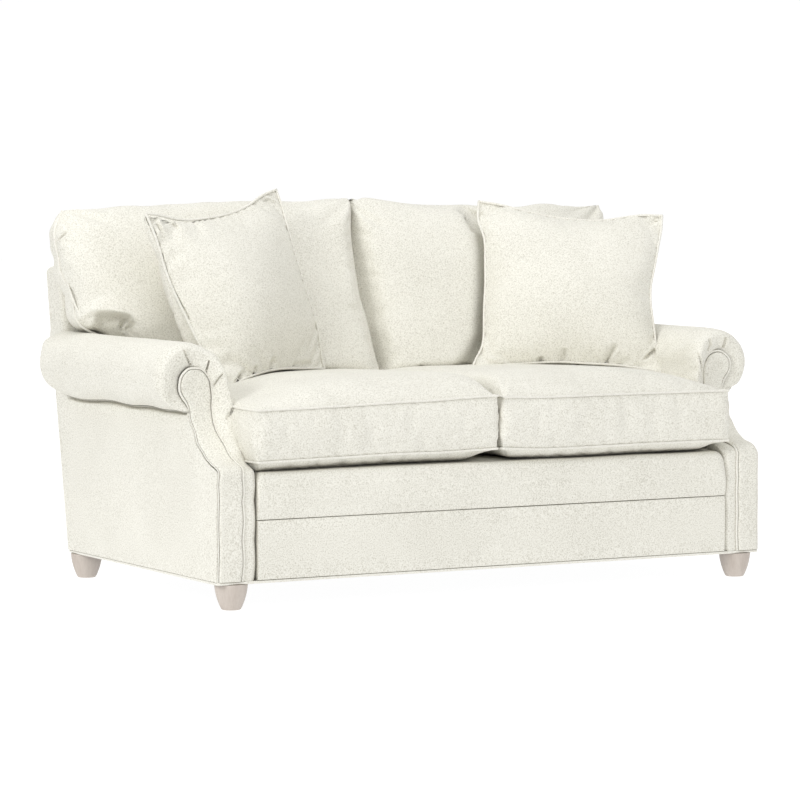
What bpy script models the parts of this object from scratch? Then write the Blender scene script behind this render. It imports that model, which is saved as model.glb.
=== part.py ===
# Two-seat roll-arm sofa: timber frame, sinuous springs, padded covers, loose cushions.
# Metres, +Z up, front of the sofa at -Y. The origin is under the middle, on the floor.

import math

import bmesh
import bpy
from mathutils import Matrix, Vector
from mathutils.bvhtree import BVHTree

# Overall driving sizes
OVERALL_WIDTH = 1.690
OVERALL_DEPTH = 0.997
BASE_WIDTH = 1.536
INNER_WIDTH = 1.332
ARM_HEIGHT = 0.624
BACK_TOP = 0.772
BACK_RAKE = math.radians(10.4)
FOOT_HEIGHT = 0.061
CUSHION_PROUD = 0.012

# Clearances and cutter overrun
GAP = 0.0003
SLIDE_GAP = 0.0005
BOLT_GAP = 0.0004
OVERRUN = 0.050

# Covers and padding
COVER_PANEL = 0.006
FRONT_PADDING = 0.024
ARM_PADDING = 0.024
BACK_PADDING = 0.022
BACK_FRAME_DEPTH = 0.0836
BACK_EDGE_RADIUS = 0.016
WELT_RADIUS = 0.0035
DUST_COVER = 0.0016

# Arm: front sweep, roll and facing
ROLL_RADIUS = 0.084
SWEEP_DEPTH = 0.163
SWEEP_RISE = 0.180
SHELF_HEIGHT = 0.335
SHELF_CORNER = 0.022
INNER_EASE = 0.100
HEAD_RADIUS = 0.0445
HEAD_FLARE = 0.060
HEAD_DROP = 0.0168
FACING_BAND = 0.0375
FACING_CROWN = 0.0015
BAND_ROUND = 0.014
INNER_RIM_ROUND = 0.020
RIM_ROUND = 0.034
RIM_PROUD = 0.034
SIDE_ROUND = 0.004
ROLL_END_ROUND = 0.012

# Timber
RAIL_THICKNESS = 0.025
RAIL_TOP = 0.285
POST_THICKNESS = 0.045
POST_REAR_SETBACK = 0.235
REAR_RAIL_AHEAD = 0.0763
SIDE_RAIL_INSET = 0.010
SIDE_RAIL_THICKNESS = 0.023
BRACE_THICKNESS = 0.030
BRACE_DROP = 0.035
BLOCK_LEG = 0.080
BLOCK_HEIGHT = 0.060
ARM_RAIL_HEIGHT = 0.044
ARM_RAIL_TOP = 0.5425
BACK_POST_DEPTH = 0.055
BACK_RAIL_HEIGHT = 0.045
BACK_RAIL_DEPTH = 0.025
LOWER_RAIL_HEIGHT = 0.335
CENTRE_POST_WIDTH = 0.045

# Springs
SPRING_WIRE = 0.0019
SPRING_HALF_WIDTH = 0.024
SPRING_PITCH = 0.046
SPRING_LANDING = 0.012
SEAT_SPRINGS = 6
SEAT_SPRING_SPREAD = 1.120
BACK_SPRING_SPREAD = 0.980
BACK_SPRINGS = 4

# Deck and front border
DECK_TOP = 0.325
DECK_THICKNESS = 0.016
BORDER_SEAM = 0.210
BORDER_SEAM_GAP = 0.0015
BORDER_PROUD = 0.004
BORDER_LIP = 0.075
BORDER_LIP_THICKNESS = 0.019
BORDER_EDGE = 0.004

# Feet and their bolts
FOOT_TOP_RADIUS = 0.0395
FOOT_BOTTOM_RADIUS = 0.0210
FOOT_FRONT_SIDE_INSET = 0.052
FOOT_REAR_SIDE_INSET = 0.041
FOOT_FRONT_INSET = 0.034
FOOT_REAR_INSET = 0.040
BOLT_RADIUS = 0.004
BOLT_IN_FOOT = 0.035
BOLT_IN_POST = 0.045
FOOT_SIDES = 20
BOLT_SIDES = 12

# Seat cushions
SEAT_TOP_WELT = 0.478
SEAT_BOTTOM_WELT = 0.352
SEAT_CORNER_LIFT = 0.012
SEAT_CORNER_CUT = 0.0048
SEAT_SIDE_DRAW = 0.005
SEAT_BOXING_BULGE = 0.008
SEAT_SHOULDER = 0.130
SEAT_UNDERSIDE_INSET = 0.050
SEAT_CROWN = 0.524
SEAT_CROWN_SETBACK = 0.250
SEAT_PITCH = math.radians(2.0)
SEAT_REAR_GAP = 0.001
SEAT_STEPS = 14
SEAT_CORNER_POWER = 12
SEAT_LIFT_POWER = 4
SEAT_BULGE_POWER = 30

# Back cushions
BACK_CUSHION_TOP = 0.962
BACK_CUSHION_OVERHANG = 0.822
BACK_CUSHION_REACH = 0.2153
BACK_CUSHION_FACE_RAKE = math.radians(19.3)
BACK_CUSHION_BULGE = 0.035
BACK_CUSHION_FOOT_DRAW = 0.012
BACK_CUSHION_TOP_DROP = 0.034
BACK_CUSHION_SEAM_SHARE = 0.42
BACK_CUSHION_COLUMNS = 14
BACK_CUSHION_ROWS = 16
BACK_CUSHION_INNER_POWER = 20
BACK_CUSHION_OUTER_POWER = 7
BACK_CUSHION_REAR_POWER = 9
BACK_CUSHION_SIDE_ROOT = 3.2
BACK_CUSHION_TOP_POWER = 7
BACK_CUSHION_TOP_ROOT = 2.6

# Scatter pillows
PILLOW_SIZE = 0.470
PILLOW_HALF_THICKNESS = 0.070
PILLOW_DRAW = 0.022
PILLOW_STEPS = 14
PILLOW_FILL_POWER = 0.45
LEFT_PILLOW_X = -0.430
LEFT_PILLOW_AHEAD = 0.054
LEFT_PILLOW_TURN = math.radians(17.8)
LEFT_PILLOW_LEAN = math.radians(17.2)
LEFT_PILLOW_ROLL = math.radians(3.0)
RIGHT_PILLOW_X = 0.526
RIGHT_PILLOW_AHEAD = 0.096
RIGHT_PILLOW_TURN = math.radians(-29.0)
RIGHT_PILLOW_LEAN = math.radians(28.5)
RIGHT_PILLOW_ROLL = math.radians(-2.6)

# Heights of the cover levels, as shares of the front sweep and of the roll's turn
SWEEP_STEP_SHARES = (0.11, 0.22, 0.34, 0.46, 0.58, 0.69)
ROLL_STEP_SHARES = (0.028, 0.12, 0.21, 0.30, 0.39, 0.50, 0.61, 0.72, 0.83, 0.92)
RIM_STEP_SHARES = (0.0, 0.28, 0.55, 0.82, 1.0)
HEAD_STEP_SHARES = (0.0, 0.25, 0.5, 0.72, 0.88)
RIM_PROUD_POWER = 0.7

# Places along one bend of a sinuous spring
SPRING_BEND_SHARES = (0.28, 0.72)

# Foot outline: height share and radius share between the bottom and the top
FOOT_OUTLINE_SHARES = ((0.0, -0.05), (0.04, 0.02), (0.25, 0.33), (0.5, 0.66), (0.75, 0.89), (1.0, 1.0))

# Front border outline: share of the padding, of the swell and of the height
BORDER_FACE_SHARES = (
    (0.06, 0.0, 0.0),
    (0.0, 0.75, 0.22),
    (0.0, 1.0, 0.48),
    (0.0, 0.5, 0.74),
    (0.25, 0.0, 0.89),
    (0.85, 0.0, 0.975),
)

# Back cushion outer edge: height share and how far it has swung out over the arm
OVERHANG_SHARES = (
    (0.0, 0.0),
    (0.15, 0.02),
    (0.245, 0.14),
    (0.32, 0.58),
    (0.53, 0.80),
    (0.76, 1.0),
    (0.88, 0.98),
    (1.0, 0.78),
)

# Back cushion top edge: width share and share of the drop, for the left and the right cushion
LEFT_TOP_SHARES = ((0.0, 0.25), (0.06, 0.0), (0.14, 0.10), (0.5, 0.14), (0.66, 0.38), (0.86, 0.62), (1.0, 1.0))
RIGHT_TOP_SHARES = ((0.0, 0.25), (0.06, 0.0), (0.12, 0.02), (0.28, 0.42), (0.43, 0.46), (0.9, 0.75), (1.0, 1.1))

# Seat cushion border and underside: share of the bulge or inset, then of the height
SEAT_BORDER_SHARES = ((1.0, 0.75), (1.0, 0.5), (0.75, 0.25), (0.0, 0.0))
SEAT_UNDERSIDE_SHARES = ((0.5, 0.25), (1.0, 0.0))

# Places along an edge where a pillow's contact is tested
EDGE_SHARES = (0.0, 0.2, 0.4, 0.6, 0.8, 1.0)

# Angles past which an edge is drawn sharp
CRISP_EDGE = math.radians(40)
ROUND_EDGE = math.radians(50)
SOFT_EDGE = math.radians(60)

# Worked-out places
FRONT_Y = CUSHION_PROUD - OVERALL_DEPTH / 2
CAP_Y = FRONT_Y + COVER_PANEL + GAP
WOOD_FRONT_Y = FRONT_Y + FRONT_PADDING
ROLL_X = OVERALL_WIDTH / 2 - ROLL_RADIUS
ROLL_Z = ARM_HEIGHT - ROLL_RADIUS
INNER_X = INNER_WIDTH / 2
OUTER_X = BASE_WIDTH / 2
PAD_OUTER_X = OUTER_X - COVER_PANEL - GAP
POST_INNER_X = INNER_X + ARM_PADDING + GAP
POST_OUTER_X = POST_INNER_X + POST_THICKNESS
COVER_BOTTOM = FOOT_HEIGHT + GAP + 2 * WELT_RADIUS + GAP
TIMBER_BOTTOM = FOOT_HEIGHT + GAP + DUST_COVER + GAP
ELLIPSE_Z = SHELF_HEIGHT + SWEEP_RISE
SLOPE = math.tan(BACK_RAKE)
BACK_TOP_U = BACK_TOP / math.cos(BACK_RAKE)
BACK_FOOT_Y = OVERALL_DEPTH / 2 - BACK_TOP_U * math.sin(BACK_RAKE)
REAR_RAIL_Y = BACK_FOOT_Y - REAR_RAIL_AHEAD
BACK_CUSHION_Y = BACK_FOOT_Y - BACK_CUSHION_REACH
DECK_BOTTOM = DECK_TOP - DECK_THICKNESS
SEAT_CROWN_Y = FRONT_Y + SEAT_CROWN_SETBACK
WELT_OUTER_X = OUTER_X - WELT_RADIUS
WELT_INNER_X = INNER_X + FACING_BAND
HEAD_X = WELT_INNER_X + HEAD_RADIUS
HEAD_Z = ROLL_Z - HEAD_DROP


def clear_scene():
    for obj in list(bpy.data.objects):
        bpy.data.objects.remove(obj, do_unlink=True)


def make_material(name, colour, roughness, metallic=0.0):
    material = bpy.data.materials.new(name)
    material.use_nodes = True
    shader = material.node_tree.nodes["Principled BSDF"]
    shader.inputs["Base Color"].default_value = (*colour, 1.0)
    shader.inputs["Roughness"].default_value = roughness
    shader.inputs["Metallic"].default_value = metallic
    material.diffuse_color = (*colour, 1.0)
    return material


def make_empty(name, location, rotation=(0.0, 0.0, 0.0), parent=None):
    empty = bpy.data.objects.new(name, None)
    empty.location = location
    empty.rotation_euler = rotation
    empty.parent = parent
    bpy.context.scene.collection.objects.link(empty)
    return empty


def link_mesh(name, bm, material, parent, location=(0.0, 0.0, 0.0), rotation=(0.0, 0.0, 0.0), smooth=None):
    """Finish a mesh, give it its material and hang it on its parent."""
    bmesh.ops.recalc_face_normals(bm, faces=bm.faces)
    if bm.calc_volume(signed=True) < 0.0:
        bmesh.ops.reverse_faces(bm, faces=bm.faces)
    mesh = bpy.data.meshes.new(name)
    bm.to_mesh(mesh)
    bm.free()
    if smooth is not None:
        mesh.shade_smooth()
        mesh.set_sharp_from_angle(angle=smooth)
    obj = bpy.data.objects.new(name, mesh)
    obj.location = location
    obj.rotation_euler = rotation
    obj.parent = parent
    if material:
        mesh.materials.append(material)
    bpy.context.scene.collection.objects.link(obj)
    return obj


def box_mesh(low, high):
    bm = bmesh.new()
    size = Vector(high) - Vector(low)
    middle = (Vector(high) + Vector(low)) / 2
    bmesh.ops.create_cube(bm, size=1.0, matrix=Matrix.Translation(middle) @ Matrix.Diagonal((*size, 1.0)))
    return bm


def bevel_edges(bm, width, segments, chosen):
    edges = [edge for edge in bm.edges if chosen(edge)]
    bmesh.ops.bevel(bm, geom=edges, offset=width, segments=segments, affect="EDGES", profile=0.5)


def prism_mesh(outline, low_x, high_x):
    """A closed outline in the YZ plane, drawn out along X."""
    bm = bmesh.new()
    near = [bm.verts.new((low_x, y, z)) for y, z in outline]
    far = [bm.verts.new((high_x, y, z)) for y, z in outline]
    bm.faces.new(near)
    bm.faces.new(list(reversed(far)))
    count = len(outline)
    for i in range(count):
        j = (i + 1) % count
        bm.faces.new((near[i], near[j], far[j], far[i]))
    return bm


def cylinder_mesh(radius, low_z, high_z, sides):
    bm = bmesh.new()
    place = Matrix.Translation((0.0, 0.0, (low_z + high_z) / 2))
    bmesh.ops.create_cone(
        bm, cap_ends=True, segments=sides, radius1=radius, radius2=radius, depth=high_z - low_z, matrix=place
    )
    return bm


def cut_with(obj, cutter):
    """Take the cutter's shape out of a piece and keep the cutter as a wire guide."""
    cutter.hide_render = True
    cutter.display_type = "WIRE"
    modifier = obj.modifiers.new("cut_" + cutter.name, "BOOLEAN")
    modifier.operation = "DIFFERENCE"
    modifier.solver = "EXACT"
    modifier.object = cutter


def tube(name, points, radius, material, parent, cyclic=False, resolution=1):
    curve = bpy.data.curves.new(name, "CURVE")
    curve.dimensions = "3D"
    curve.bevel_depth = radius
    curve.bevel_resolution = resolution
    curve.use_fill_caps = not cyclic
    spline = curve.splines.new("POLY")
    spline.points.add(len(points) - 1)
    for point, place in zip(spline.points, points):
        point.co = (*place, 1.0)
    spline.use_cyclic_u = cyclic
    curve.materials.append(material)
    obj = bpy.data.objects.new(name, curve)
    obj.parent = parent
    bpy.context.scene.collection.objects.link(obj)
    return obj


def blend(shares, at):
    """Read a table of shares at a place between its rows."""
    for (low, a), (high, b) in zip(shares, shares[1:]):
        if at <= high:
            return a + (b - a) * (at - low) / (high - low)
    return shares[-1][1]


def ease(value):
    value = min(max(value, 0.0), 1.0)
    return value * value * (3.0 - 2.0 * value)


def side_name(side):
    return "left" if side < 0 else "right"


# Planes that several pieces share

def back_y(z, inset=0.0):
    """Depth of the raked outside back at a height, or of a plane parallel to it further in."""
    return BACK_FOOT_Y + z * SLOPE - inset / math.cos(BACK_RAKE)


def back_u(z, v=0.0):
    """Distance up the raked back for a height, on the plane v behind its rear face."""
    return (z + v * math.sin(BACK_RAKE)) / math.cos(BACK_RAKE)


def raked(v, u):
    """Depth and height of a place given in the raked back's own plane."""
    y = BACK_FOOT_Y + v * math.cos(BACK_RAKE) + u * math.sin(BACK_RAKE)
    return y, u * math.cos(BACK_RAKE) - v * math.sin(BACK_RAKE)


def seat_plane(y):
    """The crown of the seat cushions, which falls towards the back."""
    return SEAT_CROWN - (y - SEAT_CROWN_Y) * math.tan(SEAT_PITCH)


# Arm front sweep: upright, round a corner, then back and up along a quarter ellipse

def sweep_y(z):
    corner_z = SHELF_HEIGHT - SHELF_CORNER
    if z <= corner_z:
        return CAP_Y
    if z <= SHELF_HEIGHT:
        rise = z - corner_z
        return CAP_Y + SHELF_CORNER - math.sqrt(SHELF_CORNER**2 - rise**2)
    if z >= ELLIPSE_Z:
        return CAP_Y + SWEEP_DEPTH
    share = (ELLIPSE_Z - z) / SWEEP_RISE
    return CAP_Y + max(SHELF_CORNER, SWEEP_DEPTH * math.sqrt(1.0 - share * share))


def sweep_levels():
    """Heights of the level lines of the arm, closest where the sweep turns."""
    corner_z = SHELF_HEIGHT - SHELF_CORNER
    levels = [COVER_BOTTOM, (COVER_BOTTOM + corner_z) / 2, corner_z]
    levels += [corner_z + SHELF_CORNER * math.sin(math.radians(angle)) for angle in (30, 60)]
    levels += [ELLIPSE_Z - SWEEP_RISE * math.cos(share * math.pi / 2) for share in SWEEP_STEP_SHARES]
    levels.append(ROLL_Z - ROLL_RADIUS)
    levels += [ROLL_Z - ROLL_RADIUS * math.cos(share * math.pi) for share in ROLL_STEP_SHARES]
    return levels


def sweep_normals(levels):
    """Unit normals of the front sweep at each level, pointing out to the front."""
    normals = []
    for i, z in enumerate(levels):
        low = levels[max(i - 1, 0)]
        high = levels[min(i + 1, len(levels) - 1)]
        along = Vector((sweep_y(high) - sweep_y(low), high - low)).normalized()
        normals.append(Vector((-along.y, along.x)))
    return normals


def arm_inner_x(z):
    """Inside face of the arm: upright, then easing on to the roll."""
    if z >= ROLL_Z:
        return ROLL_X - math.sqrt(max(ROLL_RADIUS**2 - (z - ROLL_Z) ** 2, 0.0))
    roll_inner = ROLL_X - ROLL_RADIUS
    return INNER_X + (roll_inner - INNER_X) * ease((z - ROLL_Z + INNER_EASE) / INNER_EASE)


def arm_outer_x(z):
    """Outside of the arm: behind the side panel, then round the roll."""
    seam_z = ROLL_Z - ROLL_RADIUS
    if z <= seam_z:
        return PAD_OUTER_X
    return max(PAD_OUTER_X, ROLL_X + math.sqrt(max(ROLL_RADIUS**2 - (z - ROLL_Z) ** 2, 0.0)))


def rim_round(z, inner):
    """How far the front edge of the arm is rounded at a height."""
    if inner and z > ROLL_Z:
        return INNER_RIM_ROUND + (RIM_ROUND - INNER_RIM_ROUND) * ease((z - ROLL_Z) / ROLL_RADIUS)
    if inner:
        climb = ease((z - SHELF_HEIGHT) / (ROLL_Z - SHELF_HEIGHT))
        return BAND_ROUND + (INNER_RIM_ROUND - BAND_ROUND) * climb
    return SIDE_ROUND + (RIM_ROUND - SIDE_ROUND) * ease((z - ROLL_Z + ROLL_RADIUS) / ROLL_RADIUS)


def rim_proud(z, inner):
    """How far the padded front edge stands ahead of the facing at a height."""
    rise = ease((z - SHELF_HEIGHT) / (ROLL_RADIUS / 2))
    fall = 1.0 - ease((z - ROLL_Z) / ROLL_RADIUS) / 2
    outer_share = ease((z - ROLL_Z + ROLL_RADIUS) / ROLL_RADIUS) / 2
    return RIM_PROUD * (rise * fall if inner else outer_share)


def arm_ring(side, levels, share):
    """One closed loop round the arm; share runs from the facing edge to the full outline."""
    turn = share * math.pi / 2
    chains = []
    for inner in (True, False):
        chain = []
        for z in levels:
            x = arm_inner_x(z) if inner else arm_outer_x(z)
            radius = rim_round(z, inner)
            inset = radius * (1.0 - math.sin(turn))
            set_back = radius * (1.0 - math.cos(turn)) - rim_proud(z, inner) * math.sin(2 * turn) ** RIM_PROUD_POWER
            place = Vector((x, z))
            if z > ROLL_Z:
                centre = Vector((ROLL_X, ROLL_Z))
                place = centre + (place - centre) * (1.0 - inset / ROLL_RADIUS)
            else:
                place.x += inset if inner else -inset
            chain.append((side * place.x, sweep_y(place.y) + set_back, place.y))
        chains.append(chain)
    top_inset = RIM_ROUND * (1.0 - math.sin(turn))
    top_set_back = RIM_ROUND * (1.0 - math.cos(turn))
    top_set_back -= rim_proud(ARM_HEIGHT, True) * math.sin(2 * turn) ** RIM_PROUD_POWER
    top = (side * ROLL_X, sweep_y(ARM_HEIGHT) + top_set_back, ARM_HEIGHT - top_inset)
    return chains[0] + [top] + list(reversed(chains[1]))


def arm_rear_ring(side, levels, inset, set_back):
    """The arm's outline where it ends against the front of the raked back."""
    ring = []
    for x, y, z in arm_ring(side, levels, 1.0):
        place = Vector((abs(x), z))
        if z > ROLL_Z - ROLL_RADIUS / 2:
            centre = Vector((ROLL_X, ROLL_Z))
            place = centre + (place - centre) * (1.0 - inset / ROLL_RADIUS)
        ring.append((side * place.x, back_y(place.y, BACK_FRAME_DEPTH + GAP) - set_back, place.y))
    return ring


def bridge_rings(bm, rings, closed=True):
    """Join loops of equal length with quads and return their vertices."""
    loops = [[bm.verts.new(place) for place in ring] for ring in rings]
    for low, high in zip(loops, loops[1:]):
        count = len(low)
        last = count if closed else count - 1
        for i in range(last):
            j = (i + 1) % count
            bm.faces.new((low[i], low[j], high[j], high[i]))
    return loops


def close_pairs(bm, loop):
    """Close an arm loop with strips between its inner and outer points of one level."""
    count = len(loop)
    half = count // 2
    for i in range(half - 1):
        bm.faces.new((loop[i], loop[i + 1], loop[count - 2 - i], loop[count - 1 - i]))
    bm.faces.new((loop[half - 1], loop[half], loop[half + 1]))


def inward_sweep(offset, top_z, bottom_z):
    """The front sweep moved in by an offset, from the bottom up to a height."""
    levels = [z for z in sweep_levels() if z < ELLIPSE_Z]
    points = [(CAP_Y + offset, bottom_z)]
    for z, normal in zip(levels, sweep_normals(levels)):
        moved = Vector((sweep_y(z), z)) - normal * offset
        if bottom_z < moved.y < top_z and moved.y > points[-1][1]:
            points.append((moved.x, moved.y))
    points.append((max(points[-1][0], CAP_Y + SWEEP_DEPTH + offset), top_z))
    return points


def arm_pad(side, material, parent):
    """Padded inside arm, roll and front band in one cover, hollow round its timber."""
    levels = sweep_levels()
    bm = bmesh.new()
    rings = [arm_ring(side, levels, share) for share in RIM_STEP_SHARES]
    rings.append(arm_rear_ring(side, levels, 0.0, ROLL_END_ROUND))
    rings.append(arm_rear_ring(side, levels, ROLL_END_ROUND, 0.0))
    loops = bridge_rings(bm, rings)
    close_pairs(bm, loops[0])
    close_pairs(bm, loops[-1])
    name = "arm_pad_" + side_name(side)
    pad = link_mesh(name, bm, material, parent, smooth=ROUND_EDGE)

    seam_z = ROLL_Z - ROLL_RADIUS
    wall = FRONT_PADDING - COVER_PANEL - GAP
    inner_x = POST_INNER_X - GAP
    rear_y = OVERALL_DEPTH / 2 + OVERRUN
    open_outline = inward_sweep(wall, seam_z - SLIDE_GAP, -OVERRUN)
    open_outline += [(rear_y, seam_z - SLIDE_GAP), (rear_y, -OVERRUN)]
    span = sorted((side * inner_x, side * (OUTER_X + OVERRUN)))
    open_side = link_mesh(name + "_side_cutter", prism_mesh(open_outline, *span), None, parent)
    cut_with(pad, open_side)

    rail_outline = inward_sweep(wall, ARM_RAIL_TOP + GAP, seam_z - OVERRUN)
    rail_outline += [(rear_y, ARM_RAIL_TOP + GAP), (rear_y, seam_z - OVERRUN)]
    span = sorted((side * inner_x, side * (POST_OUTER_X + GAP)))
    cut_with(pad, link_mesh(name + "_rail_cutter", prism_mesh(rail_outline, *span), None, parent))

    low = (min(side * (INNER_X - OVERRUN), side * (inner_x + ARM_PADDING / 4)), WOOD_FRONT_Y - GAP, -OVERRUN)
    high = (max(side * (INNER_X - OVERRUN), side * (inner_x + ARM_PADDING / 4)), rear_y, DECK_BOTTOM)
    cut_with(pad, link_mesh(name + "_deck_cutter", box_mesh(low, high), None, parent))
    return pad


def facing_edges(z, inset):
    """Inner and outer edge of the keyhole facing at a height, moved in from the welt's middle."""
    if z > HEAD_Z:
        reach = math.sqrt(max((HEAD_RADIUS - inset) ** 2 - (z - HEAD_Z) ** 2, 0.0))
        return HEAD_X - reach, HEAD_X + reach
    rise = min(max((z - HEAD_Z + HEAD_FLARE) / HEAD_FLARE, 0.0), 1.0)
    swing = HEAD_X + HEAD_RADIUS - WELT_OUTER_X
    outer = WELT_OUTER_X + swing * ease(rise)
    slope = swing / HEAD_FLARE * 6.0 * rise * (1.0 - rise)
    return WELT_INNER_X + inset, outer - inset * math.sqrt(1.0 + slope * slope)


def facing_levels(inset):
    """Level lines of the facing: the arm's own, then round the head."""
    levels = [z for z in sweep_levels() if z < HEAD_Z]
    reach = HEAD_RADIUS - inset
    return levels + [HEAD_Z + reach * math.sin(share * math.pi / 2) for share in HEAD_STEP_SHARES]


def arm_facing(side, material, parent):
    """Keyhole panel on the front of the arm, bent to the sweep and slightly crowned."""
    inset = WELT_RADIUS + GAP
    levels = facing_levels(inset)
    normals = sweep_normals(levels)
    bm = bmesh.new()
    sections = []
    for z, normal in zip(levels, normals):
        inner, outer = facing_edges(z, inset)
        middle = (inner + outer) / 2
        back = Vector((sweep_y(z), z)) + normal * GAP
        front = back + normal * (COVER_PANEL - FACING_CROWN)
        crown = front + normal * FACING_CROWN
        sections.append(
            [
                (side * inner, back.x, back.y),
                (side * inner, front.x, front.y),
                (side * middle, crown.x, crown.y),
                (side * outer, front.x, front.y),
                (side * outer, back.x, back.y),
            ]
        )
    loops = bridge_rings(bm, sections)
    bm.faces.new(list(reversed(loops[0])))
    bm.faces.new(loops[-1])
    return link_mesh("arm_facing_" + side_name(side), bm, material, parent, smooth=CRISP_EDGE)


def arm_welt(side, material, parent):
    """Piping that runs up the inside of the facing, over its head and down the outside."""
    levels = facing_levels(0.0)
    normals = sweep_normals(levels)
    inner_run = []
    outer_run = []
    for z, normal in zip(levels, normals):
        inner, outer = facing_edges(z, 0.0)
        place = Vector((sweep_y(z), z)) + normal * (WELT_RADIUS + GAP)
        inner_run.append((side * inner, place.x, place.y))
        outer_run.append((side * outer, place.x, place.y))
    head_y = sweep_y(ARM_HEIGHT) - WELT_RADIUS - GAP
    top = (side * HEAD_X, head_y, HEAD_Z + HEAD_RADIUS)
    points = inner_run + [top] + list(reversed(outer_run))
    return tube("arm_welt_" + side_name(side), points, WELT_RADIUS, material, parent)


def outer_arm(side, material, parent):
    """Flat side cover up to the seam under the roll, and on up the side of the back behind it."""
    top_z = ROLL_Z - ROLL_RADIUS - SLIDE_GAP
    outline = [(sweep_y(z), z) for z in sweep_levels() if z < top_z]
    outline.append((sweep_y(top_z), top_z))
    wing_front = BACK_EDGE_RADIUS - BACK_FRAME_DEPTH
    wing_top = BACK_TOP_U - BACK_EDGE_RADIUS
    rear_inset = COVER_PANEL + GAP
    outline.append((back_y(top_z, -wing_front), top_z))
    outline.append(raked(wing_front, wing_top))
    outline.append(raked(-rear_inset, wing_top))
    outline.append((back_y(COVER_BOTTOM, rear_inset), COVER_BOTTOM))
    span = sorted((side * (OUTER_X - COVER_PANEL), side * OUTER_X))
    return link_mesh("outer_arm_" + side_name(side), prism_mesh(outline, *span), material, parent)


# Timber frame

def add_box(name, low, high, material, parent):
    ordered_low = [min(a, b) for a, b in zip(low, high)]
    ordered_high = [max(a, b) for a, b in zip(low, high)]
    return link_mesh(name, box_mesh(ordered_low, ordered_high), material, parent)


def front_rail(material, parent):
    reach = POST_INNER_X - GAP
    low = (-reach, WOOD_FRONT_Y, TIMBER_BOTTOM)
    high = (reach, WOOD_FRONT_Y + RAIL_THICKNESS, RAIL_TOP)
    return add_box("front_rail", low, high, material, parent)


def rear_rail(material, parent):
    reach = POST_INNER_X + SIDE_RAIL_INSET - GAP
    front = REAR_RAIL_Y
    low = (-reach, front, TIMBER_BOTTOM)
    high = (reach, front + RAIL_THICKNESS, RAIL_TOP)
    return add_box("rear_rail", low, high, material, parent)


def back_post_front():
    """Distance of the back posts' front face ahead of the outside back."""
    return COVER_PANEL + GAP + BACK_POST_DEPTH


def side_rail(side, material, parent):
    """Rail from the arm board to the back post, cut to the post's rake."""
    front = FRONT_Y + POST_REAR_SETBACK + GAP
    inset = back_post_front() + GAP
    outline = [
        (front, TIMBER_BOTTOM),
        (front, RAIL_TOP),
        (back_y(RAIL_TOP, inset), RAIL_TOP),
        (back_y(TIMBER_BOTTOM, inset), TIMBER_BOTTOM),
    ]
    inner = POST_INNER_X + SIDE_RAIL_INSET
    span = sorted((side * inner, side * (inner + SIDE_RAIL_THICKNESS)))
    return link_mesh("side_rail_" + side_name(side), prism_mesh(outline, *span), material, parent)


def centre_brace(material, parent):
    front = WOOD_FRONT_Y + RAIL_THICKNESS + GAP
    rear = REAR_RAIL_Y - GAP
    low = (-BRACE_THICKNESS / 2, front, TIMBER_BOTTOM)
    high = (BRACE_THICKNESS / 2, rear, RAIL_TOP - BRACE_DROP)
    return add_box("centre_brace", low, high, material, parent)


def corner_block(side, end, material, parent):
    """Glued triangular block between a rail and the side of the frame."""
    if end == "front":
        corner = Vector((POST_INNER_X - GAP, WOOD_FRONT_Y + RAIL_THICKNESS + GAP))
        leg = BLOCK_LEG
    else:
        corner = Vector((POST_INNER_X + SIDE_RAIL_INSET - GAP, REAR_RAIL_Y - GAP))
        leg = -BLOCK_LEG
    plan = [corner, corner + Vector((0.0, leg)), corner - Vector((BLOCK_LEG, 0.0))]
    bm = bmesh.new()
    low = [bm.verts.new((side * point.x, point.y, TIMBER_BOTTOM)) for point in plan]
    high = [bm.verts.new((side * point.x, point.y, TIMBER_BOTTOM + BLOCK_HEIGHT)) for point in plan]
    bm.faces.new(low)
    bm.faces.new(high)
    for i in range(3):
        j = (i + 1) % 3
        bm.faces.new((low[i], low[j], high[j], high[i]))
    return link_mesh("corner_block_" + end + "_" + side_name(side), bm, material, parent)


def arm_rail_bottom():
    return ARM_RAIL_TOP - ARM_RAIL_HEIGHT


def arm_front_post(side, material, parent):
    """Shaped board that gives the arm its swept front."""
    top_z = arm_rail_bottom() - GAP
    outline = inward_sweep(FRONT_PADDING - COVER_PANEL, top_z, TIMBER_BOTTOM)
    rear = FRONT_Y + POST_REAR_SETBACK
    outline += [(rear, top_z), (rear, TIMBER_BOTTOM)]
    span = sorted((side * POST_INNER_X, side * POST_OUTER_X))
    return link_mesh("arm_front_post_" + side_name(side), prism_mesh(outline, *span), material, parent)


def arm_top_rail(side, material, parent):
    """Rail inside the roll, from the arm board to the back post."""
    bottom = arm_rail_bottom()
    front = CAP_Y + SWEEP_DEPTH + FRONT_PADDING
    inset = back_post_front() + GAP
    outline = [
        (front, bottom),
        (front, ARM_RAIL_TOP),
        (back_y(ARM_RAIL_TOP, inset), ARM_RAIL_TOP),
        (back_y(bottom, inset), bottom),
    ]
    span = sorted((side * POST_INNER_X, side * POST_OUTER_X))
    return link_mesh("arm_top_rail_" + side_name(side), prism_mesh(outline, *span), material, parent)


def back_post_top():
    """Height up the rake where the posts meet the top rail."""
    return BACK_TOP_U - BACK_PADDING - GAP - BACK_RAIL_HEIGHT - GAP


def back_post(side, material, back_frame):
    front = -back_post_front()
    rear = -(COVER_PANEL + GAP)
    bottom = back_u(COVER_BOTTOM, rear)
    low = (side * POST_INNER_X, front, bottom)
    high = (side * POST_OUTER_X, rear, back_post_top())
    return add_box("back_post_" + side_name(side), low, high, material, back_frame)


def back_rail_front():
    """Front face of the rails between the back posts, behind the back springs."""
    return -(back_post_front() - 2 * SPRING_WIRE - 2 * GAP)


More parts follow.
